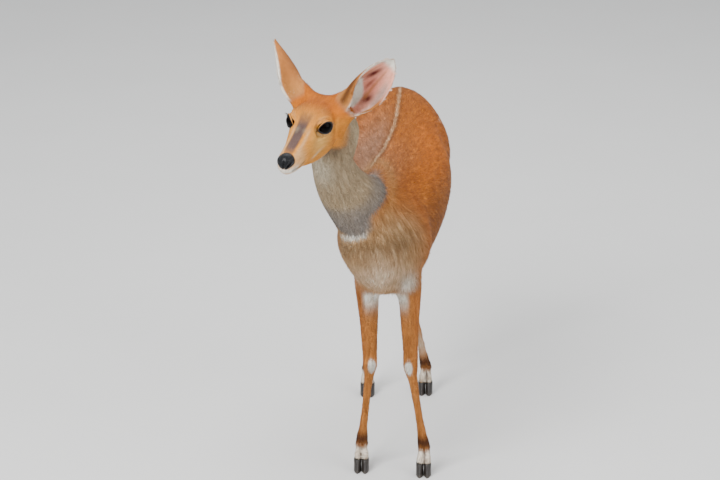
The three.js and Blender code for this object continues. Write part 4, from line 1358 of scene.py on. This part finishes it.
def eye_finish():
    """The eye: near-black iris and pupil under a clear wet front."""
    made = Finish("eye_wet", Roughness=0.3, Specular_IOR_Level=0.0,
                  Coat_Weight=0.4, Coat_Roughness=0.01, Coat_IOR=1.22)
    made.set("Base Color", made.tinted(made.colour("eye_colour"), made.noise(800).shade(0.7, 1.3)))
    return made.material


def floor_finish():
    made = Finish("pale_floor", Roughness=0.9, Specular_IOR_Level=0.2)
    made.set("Base Color", made.noise(3, 2).over((0.66, 0.66, 0.65, 1), (0.70, 0.70, 0.69, 1)))
    return made.material


# Pieces

def colour_points(mesh, colours, name="coat_colour"):
    """Stores one linear colour for each point of a mesh."""
    layer = mesh.attributes.new(name, "FLOAT_COLOR", "POINT")
    opaque = np.concatenate([colours, np.ones((len(colours), 1))], 1)
    layer.data.foreach_set("color", opaque.astype(np.float32).ravel())


def finished(name, mesh, material, slot, *nodes):
    """A piece that rides on the still body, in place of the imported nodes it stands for."""
    made = piece(name, mesh)
    made.data.materials.append(material)
    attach(made, "root")
    if nodes:
        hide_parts(*nodes)
    return made


def simple_piece(name, points, material, slot, *nodes, colour=None, colour_name="coat_colour", loop=False):
    """A closed piece from one grid of points, its faces turned outwards; a loop has no ends to close."""
    if loop:
        verts, quads = points.reshape(-1, 3), ring_faces(*points.shape[:2], loop=True)
        tris = np.zeros((0, 3), int)
    else:
        verts, quads, tris = closed(points)
    mesh = build_mesh(name, verts, *outward(verts, quads, tris))
    if colour is not None:
        flat = colour.reshape(-1, 3)
        if not loop:
            flat = np.concatenate([flat, colour[0].mean(0)[None], colour[-1].mean(0)[None]])
        colour_points(mesh, flat, colour_name)
    return finished(name, mesh, material, slot, *nodes)


def eye_ball(name, sign, material):
    """A ball with a slightly raised front; its colour goes from the pupil over the iris to the dark rim."""
    polar = np.linspace(0.004, np.pi - 0.004, 90)[:, None]
    angle = around(96)[None, :]
    radius = EYE_RADIUS + 0.7 * bell(polar, 0.55)
    x, y = radius * np.sin(polar) * np.cos(angle), radius * np.sin(polar) * np.sin(angle)
    z = np.broadcast_to(radius * np.cos(polar), x.shape)
    far = np.hypot(x, y) / EYE_RADIUS + (z < 0) * 2
    pupil = fall(np.hypot(x / 8.4, y / 4.6) + (z < 0) * 3, 0.85, 1.1)
    colour = IRIS + (EYE_EDGE - IRIS) * ramp(far, 0.6, 0.76)[..., None]
    colour = colour + (PUPIL - colour) * pupil[..., None]
    points = from_eye(sign, np.stack([x, y, z], -1))
    return simple_piece(f"eye_{name}_ball", points, material, "eye", f"eye_{name}",
                        colour=colour, colour_name="eye_colour")


# A lid's section, from inside the eye over the rim and under the skin: how far out, how high off the ball
LID_SECTION = np.array([
    (-0.4, -2.0), (-0.7, -0.3), (-0.5, 0.7), (0.2, 1.15), (1.2, 1.1), (2.3, 0.7),
    (3.3, 0.1), (4.0, -1.0), (3.6, -2.6), (1.6, -3.2),
])


def lid_ring(name, sign, material):
    """Both lids as one ring: the section carried round the almond of the opening, thicker above."""
    steps, sides = 160, 40
    x, y = almond(around(steps))
    z = ball_height(x, y, EYE_RADIUS)
    rim_point = np.stack([x, y, z], -1)
    flat = unit(rim_point * (1, 1, 0))
    rise = unit(rim_point)
    knots = len(LID_SECTION)
    at = np.arange(sides) / sides * knots
    i, f = at.astype(int), (at % 1)[:, None]
    p0, p1, p2, p3 = (LID_SECTION[(i + k) % knots] for k in (-1, 0, 1, 2))
    section = 0.5 * (2 * p1 + (p2 - p0) * f + (2 * p0 - 5 * p1 + 4 * p2 - p3) * f ** 2
                     + (3 * p1 - p0 - 3 * p2 + p3) * f ** 3)
    upper = ramp(np.sin(around(steps)), -0.4, 0.6)[:, None]
    out = section[None, :, 0] * (0.8 + 0.3 * upper)
    high = section[None, :, 1] * (0.85 + 0.35 * upper)
    points = rim_point[:, None] + flat[:, None] * out[..., None] + rise[:, None] * high[..., None]
    placed = from_eye(sign, points)
    skin = coat_colour(Place(placed.reshape(-1, 3)), np.zeros((steps * sides, 3))).reshape(steps, sides, 3)
    rim = fall(out, 1.6, 3.0)[..., None]
    colour = skin * 0.85 + (LID_DARK - skin * 0.85) * rim
    return simple_piece(f"eyelid_{name}", placed, material, "coat", colour=colour, loop=True)


def nose_pad(material):
    """A rounded wedge over the muzzle's tip, with a middle groove and a comma-shaped nostril each side."""
    polar = np.linspace(0.01, np.pi - 0.01, 110)[:, None]
    angle = around(140)[None, :]
    x, y = np.sin(polar) * np.cos(angle), np.sin(polar) * np.sin(angle)
    z = np.broadcast_to(np.cos(polar), x.shape)
    narrow = 1 - 0.42 * np.maximum(-z, 0) ** 1.3
    sunk = 0.16 * bell(x, 0.08) * (y < 0) * fall(z, 0.1, 0.7)
    for sign in (1, -1):
        u, v = sign * x - 0.6, z + 0.1
        bend = v - 1.1 * u - 1.4 * u * u
        pit = fall(np.hypot(u / 0.24, bend / 0.17), 0.45, 1.15) * (y < 0)
        rim = bell(np.hypot(u / 0.40, bend / 0.27) - 1, 0.35) * (y < 0)
        sunk = sunk + 0.42 * pit - 0.05 * rim
    wide, deep, high = NOSE_SIZE
    points = np.stack([x * wide * narrow, y * deep + 2 * z, z * high], -1) * (1 - sunk)[..., None]
    return simple_piece("nose_pad", from_head(points + NOSE_PLACE), material, "nose_skin", "nose")


def hoof(name, which, sign, material):
    """Level eggs from the coronet down to a flat sole, longer and fuller towards the toe."""
    foot_x, foot_y = FEET[name]
    top = CORONET + 0.5
    rows = table("y z half up down cap keel", [
        (2, top, 8.0, 11.4, 12.2, 1.9, 2.3),
        (1.6, 23, 8.3, 13.2, 12.6, 1.85, 2.3),
        (0, 14, 8.1, 15.7, 14, 1.7, 2.4),
        (-2, 4, 8.2, 20, 16, 1.6, 2.5),
        (-2, 0.8, 8.0, 20, 15.6, 1.6, 2.5),
        (-2, 0, 7.4, 19.2, 15, 1.6, 2.5),
    ])
    t, angle = grid(36, 64)
    row = read(rows, "z", top - top * t)
    u, v = egg(row["half"], row["up"], row["down"], row["cap"], row["keel"], angle)
    ring = 1 + 0.008 * np.sin(row["z"] * 1.9) * ramp(row["z"], 3, 6)
    x, y = foot_x + sign * TOE_APART + u * ring, foot_y + row["y"] - v * ring
    points = np.stack([x, y, np.broadcast_to(row["z"], u.shape)], -1)
    return simple_piece(f"hoof_horn_{name}_{which}", points, material, "hoof_horn", f"hoof_{name}_{which}")


def dewclaw(name, which, sign, material):
    """A short blunt cone behind the fetlock."""
    foot_x, foot_y = FEET[name]
    share = np.array([0, 0.3, 0.6, 0.85, 0.96, 1])
    root = np.array([foot_x + sign * 7, foot_y + PASTERN + 6, FETLOCK - 2])
    tip = np.array([foot_x + sign * 10.5, foot_y + PASTERN + 22, FETLOCK - 14])
    middle = root + (tip - root) * share[:, None]
    size = np.array([4.6, 5.2, 4.9, 3.8, 2.4, 1.0])
    rows = dict(zip("xyz", middle.T), s=share, half=size * 0.95, up=size, down=size)
    return simple_piece(f"dewclaw_horn_{name}_{which}", limb(rows, "s", 20, 28), material, "hoof_horn",
                        f"dewclaw_{name}_{which}")


# Coat

def lie_of(place, way):
    """The way the hair lies: back along the head and body, down the neck and legs, out along the ears."""
    count = len(place.x)
    body = np.stack([np.zeros(count), np.ones(count), -0.28 - 0.5 * bell(place.z - 540, 80)], -1)
    spread = np.stack([0.25 * np.sign(place.side) * ramp(np.abs(place.side), 3, 20),
                       np.full(count, 1.0), -0.25 + 0.5 * ramp(place.above, -20, 30)], -1)
    lies = [
        ((0.0, 0.15, -1.15), fall(place.y, -60, 60)),
        ((0.0, 0.25, -1.0), haunch(place)),
        ((0.0, 0.1, -1.0), ramp(place.y, 570, 618)),
        (NECK_LIE, place.neck),
        ((0.0, 0.12, -1.0), place.leg),
        ((0.0, 0.05, -1.0), place.tail),
        (spread @ HEAD_TURNED.T, place.head),
    ]
    for name, (_, t, _, near) in place.ears.items():
        across, _, up = ear_frame(name)[1]
        out = up + (np.sign(t) * ramp(np.abs(t), 0.3, 1.0))[:, None] * 0.5 * across
        lies.append((out @ HEAD_TURNED.T, near))
    lie = layered(body, *lies)
    return unit(lie - way * (lie * way).sum(1)[:, None])


# Where each part's hair lies on the coat's own map: left, bottom, width and height of its patch
CHARTS = {
    "torso": (0.0, 0.0, 0.5, 1.0), "head": (0.5, 0.0, 0.25, 0.5), "neck": (0.5, 0.5, 0.25, 0.25),
    "ear_left": (0.75, 0.0, 0.125, 0.5), "ear_right": (0.875, 0.0, 0.125, 0.5),
    "foreleg_left": (0.5, 0.75, 0.125, 0.25), "foreleg_right": (0.625, 0.75, 0.125, 0.25),
    "hindleg_left": (0.75, 0.5, 0.125, 0.5), "hindleg_right": (0.875, 0.5, 0.125, 0.5),
    "tail": (0.44, 0.0, 0.06, 0.3),
}


def unwrapped(place):
    """Each point's place on the coat's map: lengthwise along its own part, and the angle round it."""
    def round_it(a, b):
        return np.arctan2(a, b) / (2 * np.pi) + 0.5

    def put(uv, name, u, v, where):
        left, low, wide, high = CHARTS[name]
        u, v = np.clip(u, 0, 1) * 0.97 + 0.01, np.clip(v, 0, 1) * 0.97 + 0.01
        uv[where] = np.stack([left + u * wide, low + v * high], -1)[where]

    uv = np.zeros((len(place.x), 2))
    put(uv, "torso", (place.y + 120) / 840, round_it(place.x, place.z - 575), np.ones(len(place.x), bool))
    middle = read(NECK, "z", np.clip(place.z, 590, 904))
    round_neck = round_it(place.x - middle["x"], place.y - middle["y"])
    put(uv, "neck", (place.z - 580) / 330, round_neck, place.neck > 0.5)
    for name, (across, before, own) in place.legs.items():
        put(uv, name, round_it(across, before), place.z / 520, own > 0.5)
    put(uv, "head", (place.along + 15) / 245, round_it(place.side, place.above), place.head > 0.5)
    for name, (s, t, lift, near) in place.ears.items():
        put(uv, "ear_" + name, (t + 1.25) / 5 + 0.5 * (lift < 0), s, near > 0.5)
    put(uv, "tail", round_it(place.x, place.y - 645), (place.z - 480) / 200, place.tail > 0.5)
    return uv


SHORT_TUFTS, LONG_TUFTS, EAR_TUFTS = 290000, 15000, 7000
MOST_TRIANGLES = 190000  # in one mesh of tufts
ROOT_DEPTH = 0.35  # how far a tuft's foot is sunk in the skin


class Roots:
    """Points scattered over the skin, thicker where the density is higher, with what grows there."""

    def __init__(self, skin, count, density, rng):
        points, quads, tris = skin
        faces = np.concatenate([quads[:, [0, 1, 2]], quads[:, [0, 2, 3]], tris])
        a, b, c = (points[faces[:, k]] for k in range(3))
        area = np.linalg.norm(np.cross(b - a, c - a), axis=1) / 2
        weight = np.cumsum(area * density[faces].mean(1))
        pick = np.searchsorted(weight, (np.arange(count) + rng.random(count)) / count * weight[-1])
        pick = np.minimum(pick, len(faces) - 1)
        u, v = rng.random((2, count))
        over = u + v > 1
        u, v = np.where(over, 1 - u, u), np.where(over, 1 - v, v)
        self.at = a[pick] + (b - a)[pick] * u[:, None] + (c - a)[pick] * v[:, None]
        way = normals_of(points, quads, tris)[faces[pick]]
        self.way = unit(way[:, 0] * (1 - u - v)[:, None] + way[:, 1] * u[:, None] + way[:, 2] * v[:, None])
        self.place = Place(self.at)
        self.rng = rng
        self.count = count


def blades(roots, length, width, lift, bend, wander, root_shade_and_spread, segments):
    """Slim tapered tufts: three points at the root and at each step, and one at the tip.

    Each follows its lie, raised off the skin by its lift and bent back towards it by its bend.
    """
    rng, count, place = roots.rng, roots.count, roots.place
    lie = lie_of(place, roots.way)
    ridge = 0.22 * np.clip(streaks(place, 3.2, 26, 7), -1.5, 2.5) * (1 - place.head) * (1 - place.ear)
    across = np.cross(roots.way, lie)
    sway = rng.normal(0, 1, count) * wander
    lie = unit(lie + across * sway[:, None])
    across = np.cross(roots.way, lie)
    rise = lift * (0.75 + 0.5 * rng.random(count))
    points = []
    for k in range(segments):
        share = k / segments
        run, up = length * share, length * share * rise * (1 - bend * share) + ridge
        centre = roots.at + lie * run[:, None] + roots.way * (up - ROOT_DEPTH * (k == 0))[:, None]
        half = (width * (1 - 0.55 * share))[:, None]
        points += [centre + across * half, centre - across * half, centre + roots.way * (0.32 * half)]
    up = length * rise * (1 - bend) + ridge
    points.append(roots.at + lie * length[:, None] + roots.way * up[:, None])
    verts = np.stack(points, 1)
    tip = 3 * segments
    faces = [(0, 2, 1)]
    for a in range(0, tip - 3, 3):
        for p, q in ((0, 1), (1, 2), (2, 0)):
            faces += [(a + p, a + q, a + q + 3), (a + p, a + q + 3, a + p + 3)]
    a = tip - 3
    faces += [(a, a + 1, tip), (a + 1, a + 2, tip), (a + 2, a, tip)]
    colour = coat_colour(place, roots.way) * np.exp(rng.normal(0, root_shade_and_spread[1], count))[:, None]
    colour = streaked(colour, place)
    # Each tuft darker at its root as painted shade of the hair round it, and a little paler at its tip as
    # if bleached
    shade = np.concatenate([np.repeat(np.linspace(root_shade_and_spread[0], 1.0, segments + 1)[:-1], 3), [1.1]])
    colours = np.clip(colour[:, None] * shade[None, :, None], 0, 1)
    return verts, np.array(faces), colours


def coat_piece(name, roots, made, material, slot):
    """The tufts as one or more closed meshes, each under the triangle limit, with the coat's own map."""
    verts, faces, colours = made
    each = verts.shape[1]
    uv_root = unwrapped(roots.place)
    patch = 0.003 * np.stack([np.arange(each) % 3 / 2, np.arange(each) / each], -1)
    most = MOST_TRIANGLES // len(faces)
    for part, start in enumerate(range(0, len(verts), most)):
        own = slice(start, start + most)
        count = len(verts[own])
        f = (faces[None] + np.arange(count)[:, None, None] * each).reshape(-1, 3)
        mesh = build_mesh(f"{name}_{part}", verts[own].reshape(-1, 3), np.zeros((0, 4), int), f)
        colour_points(mesh, colours[own].reshape(-1, 3))
        layer = mesh.uv_layers.new(name="OFBake")
        uv = (uv_root[own][:, None] + patch[None]).reshape(-1, 2)[f.ravel()]
        layer.data.foreach_set("uv", uv.astype(np.float32).ravel())
        finished(f"{name}_{part}", mesh, material, slot)


def short_coat(skin, place, material):
    """The flat coat over everything: longest on the breast, shortest on the face, ears and feet."""
    density = 1 + 2.6 * place.head + 1.6 * place.ear + 0.7 * place.leg + 0.4 * place.neck
    density = density * (1 - 0.98 * bare(place))
    roots = Roots(skin, SHORT_TUFTS, density, np.random.default_rng(11))
    p = roots.place
    length = 14 - 8.8 * p.head - 9 * p.ear - 5.5 * p.leg - 5.0 * p.neck + 5 * breast(p)
    length = length * (1 - 0.35 * hoof_top(p)) * (1 - 0.45 * muzzle(p))
    length = length * np.exp(roots.rng.normal(0, 0.16, roots.count))
    width = 0.72 - 0.34 * p.head - 0.36 * p.ear - 0.18 * p.leg - 0.1 * p.neck + 0.1 * breast(p)
    lift = 0.16 + 0.03 * p.leg + 0.02 * p.head - 0.04 * p.neck + 0.12 * breast(p)
    made = blades(roots, length, width, lift, 0.35, 0.16, (0.7, 0.08), 1)
    coat_piece("coat_short", roots, made, material, "coat")


def fringe(place):
    """Where longer hair grows: low breast, belly, buttocks, tail and the line of the back."""
    low_breast = bell(place.z - 462, 36) * fall(place.y, -30, 40) * (1 - place.leg)
    belly = fall(place.z, 432, 470) * ramp(place.y, 10, 60) * fall(place.y, 330, 420) * (1 - place.leg)
    buttock = ramp(place.y, 575, 615) * fall(np.abs(place.x), 30, 70) * fall(place.z, 590, 650)
    back = bell(place.x - spine_line(place.y), 5) * ramp(place.z, 660, 700) * ramp(place.y, 30, 80)
    return low_breast, belly, 0.8 * buttock, 1.6 * place.tail, 0.9 * back


def long_coat(skin, place, material):
    """Longer hair in tufts of two steps: off the breast and belly, on the tail and down the back's line."""
    density = sum(fringe(place)) * (1 - place.head) * (1 - place.ear) + 1e-5
    roots = Roots(skin, LONG_TUFTS, density, np.random.default_rng(12))
    low_breast, belly, buttock, tail, back = fringe(roots.place)
    length = 10 + 15 * low_breast + 6 * belly + 10 * buttock + 11 * tail + 4 * back
    length = length * np.exp(roots.rng.normal(0, 0.2, roots.count))
    lift = 0.22 + 0.14 * low_breast + 0.08 * belly + 0.1 * tail
    made = blades(roots, length, np.full(roots.count, 0.8), lift, 0.45, 0.22, (0.75, 0.1), 2)
    coat_piece("coat_long", roots, made, material, "coat")


def ear_edges(skin, place, material):
    """White hair down the front of each ear's cup and along its rim, pointing out over the edge."""
    density = np.full(len(skin[0]), 1e-6)
    for name, (s, t, lift, near) in place.ears.items():
        front = -t * SIDES[name]
        band = 0.6 * ramp(front, 0.0, 0.2) * ramp(s, 0.14, 0.24) * fall(s, 0.45, 0.6) * (lift < 0.6)
        rim = ramp(np.abs(t), 0.9, 0.97) * ramp(s, 0.1, 0.2)
        density = density + near * (band + 1.2 * rim)
    roots = Roots(skin, EAR_TUFTS, density, np.random.default_rng(13))
    length = 6 * np.exp(roots.rng.normal(0, 0.25, roots.count))
    width, lift = np.full(roots.count, 0.42), np.full(roots.count, 0.2)
    made = blades(roots, length, width, lift, 0.4, 0.3, (0.85, 0.08), 2)
    coat_piece("coat_ears", roots, made, material, "ear")


def eyelashes(name, sign, material):
    """A row of fine dark lashes on the upper lid, longest at the back, curving out and down."""
    rng = np.random.default_rng(20 + sign)
    count = 46
    angle = np.radians(np.linspace(18, 172, count) + rng.normal(0, 1.5, count))
    x, y = almond(angle, 1.05)
    root = np.stack([x, y, ball_height(x, y, EYE_RADIUS) + 0.6], -1)
    flat = unit(root * (1, 1, 0))
    way = unit(flat * 0.75 + np.array([-0.25, 0.0, 0.75]) + rng.normal(0, 0.06, (count, 3)))
    length = (6.5 + 3.5 * ramp(-x, -8, 10)) * (0.85 + 0.3 * rng.random(count))
    side = unit(np.cross(way, flat))
    share = np.linspace(0, 1, 7)[None, :, None]
    path = root[:, None] + way[:, None] * length[:, None, None] * share
    path = path + np.array([0.0, -0.34, 0.0]) * length[:, None, None] * share ** 2
    half = 0.2 * (1 - share) + 0.03
    turned = np.cross(side, way)
    corners = [path + (side[:, None] * np.cos(a) + turned[:, None] * np.sin(a)) * half
               for a in np.radians((90, 210, 330))]
    verts, quads, tris = joined([closed(from_eye(sign, lash)) for lash in np.stack(corners, 2)])
    mesh = build_mesh("eyelashes_" + name, verts, quads, tris)
    colour_points(mesh, np.broadcast_to(DARK_MARK_AND_SHADE, (len(verts), 3)))
    finished("eyelashes_" + name, mesh, material, "coat")


def bare(place):
    """Where no hair grows: the nose, the lips' edges, the eye's opening and its rims."""
    made = np.zeros(len(place.x))
    for sign in (1, -1):
        x, y, z = to_eye(sign, place.points).T
        own = (z > 0) * (sign * place.side > 0) * (place.head > 0.1)
        made = np.maximum(made, own * fall(in_almond(x, y), 1.12, 1.26))
    lips = (place.head > 0.1) & (place.along > 150)
    made[lips] = np.maximum(made[lips], bell(distance_to_line(place.in_head[lips], mouth_line())[0], 1.8))
    off_nose = np.linalg.norm((place.in_head - NOSE_PLACE) / NOSE_SIZE, axis=1)
    return np.maximum(made, fall(off_nose, 1.0, 1.08))


def muzzle(place):
    return ramp(place.along, 130, 190) * place.head


# The scene

FLOOR_REACH = 30.0


def soft_light(name, size, power, place, aim):
    """A square lamp that faces a point."""
    lamp = bpy.data.lights.new(name, "AREA")
    lamp.size, lamp.energy = size, power
    made = piece(name, lamp)
    made.location = place
    made.rotation_euler = (Vector(aim) - Vector(place)).to_track_quat("-Z", "Y").to_euler()


def studio():
    """A pale floor, an even sky and three large soft lamps."""
    floor_mesh = bpy.data.meshes.new("floor")
    corners = [(x * FLOOR_REACH, y * FLOOR_REACH, 0) for x, y in ((-1, -1), (1, -1), (1, 1), (-1, 1))]
    floor_mesh.from_pydata(corners, [], [(0, 1, 2, 3)])
    floor = piece("floor", floor_mesh)
    floor.data.materials.append(floor_finish())
    world = bpy.data.worlds.new("sky")
    bpy.context.scene.world = world
    world.use_nodes = True
    sky = world.node_tree.nodes["Background"].inputs
    sky["Color"].default_value = (0.95, 0.97, 1.0, 1)
    sky["Strength"].default_value = 0.6
    soft_light("key", 2.2, 260, (-1.6, -2.6, 3.2), (0, 0, 0.6))
    soft_light("fill", 3.0, 80, (2.8, -1.8, 2.0), (0, 0, 0.5))
    soft_light("top", 3.0, 105, (0.2, 1.6, 3.4), (0, 0.1, 0.6))


# Camera: far off, a little above and to the ewe's left, as in the photograph's 720 by 480 frame
AZIMUTH, ELEVATION, DISTANCE = 2.5, 20.0, 8.0
FOCAL, SENSOR = 188.0, 36.0
ANCHOR, ANCHOR_PIXEL = np.array([-30.0, 20.0, 710.0]), (377, 168)
FRAME = (720, 480)


def camera():
    """Placed so that the anchor, between the shoulders, falls on its pixel of the photograph."""
    a, e = np.radians(AZIMUTH), np.radians(ELEVATION)
    back = np.array([np.sin(a) * np.cos(e), -np.cos(a) * np.cos(e), np.sin(e)])
    right = np.array([np.cos(a), np.sin(a), 0])
    up = np.cross(back, right)
    pixel = SENSOR / FOCAL / FRAME[0] * DISTANCE
    x, y = (ANCHOR_PIXEL[0] - FRAME[0] / 2) * pixel, (FRAME[1] / 2 - ANCHOR_PIXEL[1]) * pixel
    data = bpy.data.cameras.new("camera")
    data.lens, data.sensor_width = FOCAL, SENSOR
    data.clip_start, data.clip_end = 0.1, 100
    made = piece("camera", data)
    made.location = ANCHOR * MM + SHIFT - right * x - up * y + back * DISTANCE
    made.rotation_euler = (np.radians(90 - ELEVATION), 0, np.radians(AZIMUTH))
    bpy.context.scene.camera = made


def main():
    skin = make_skin()
    place = Place(skin[0])
    mesh = build_mesh("ewe_skin", *skin)
    colour_points(mesh, streaked(coat_colour(place, normals_of(*skin)), place))
    flesh = ["torso", "neck", "head", "tail", "ear_left", "ear_right"]
    for name in LEGS:
        flesh += [f"{name}_{'forearm' if name.startswith('fore') else 'shank'}", f"{name}_cannon"]
    finished("ewe_skin", mesh, skin_finish(), "coat", *flesh)
    hair = hair_finish()
    short_coat(skin, place, hair)
    long_coat(skin, place, hair)
    ear_edges(skin, place, hair)
    eye, lid, horn = eye_finish(), lid_finish(), horn_finish()
    for name, sign in SIDES.items():
        eye_ball(name, sign, eye)
        lid_ring(name, sign, lid)
        eyelashes(name, sign, lid)
    nose_pad(nose_finish())
    for name in FEET:
        for which, sign in SIDES.items():
            hoof(name, which, sign, horn)
            dewclaw(name, which, sign, horn)
    studio()
    camera()


main()
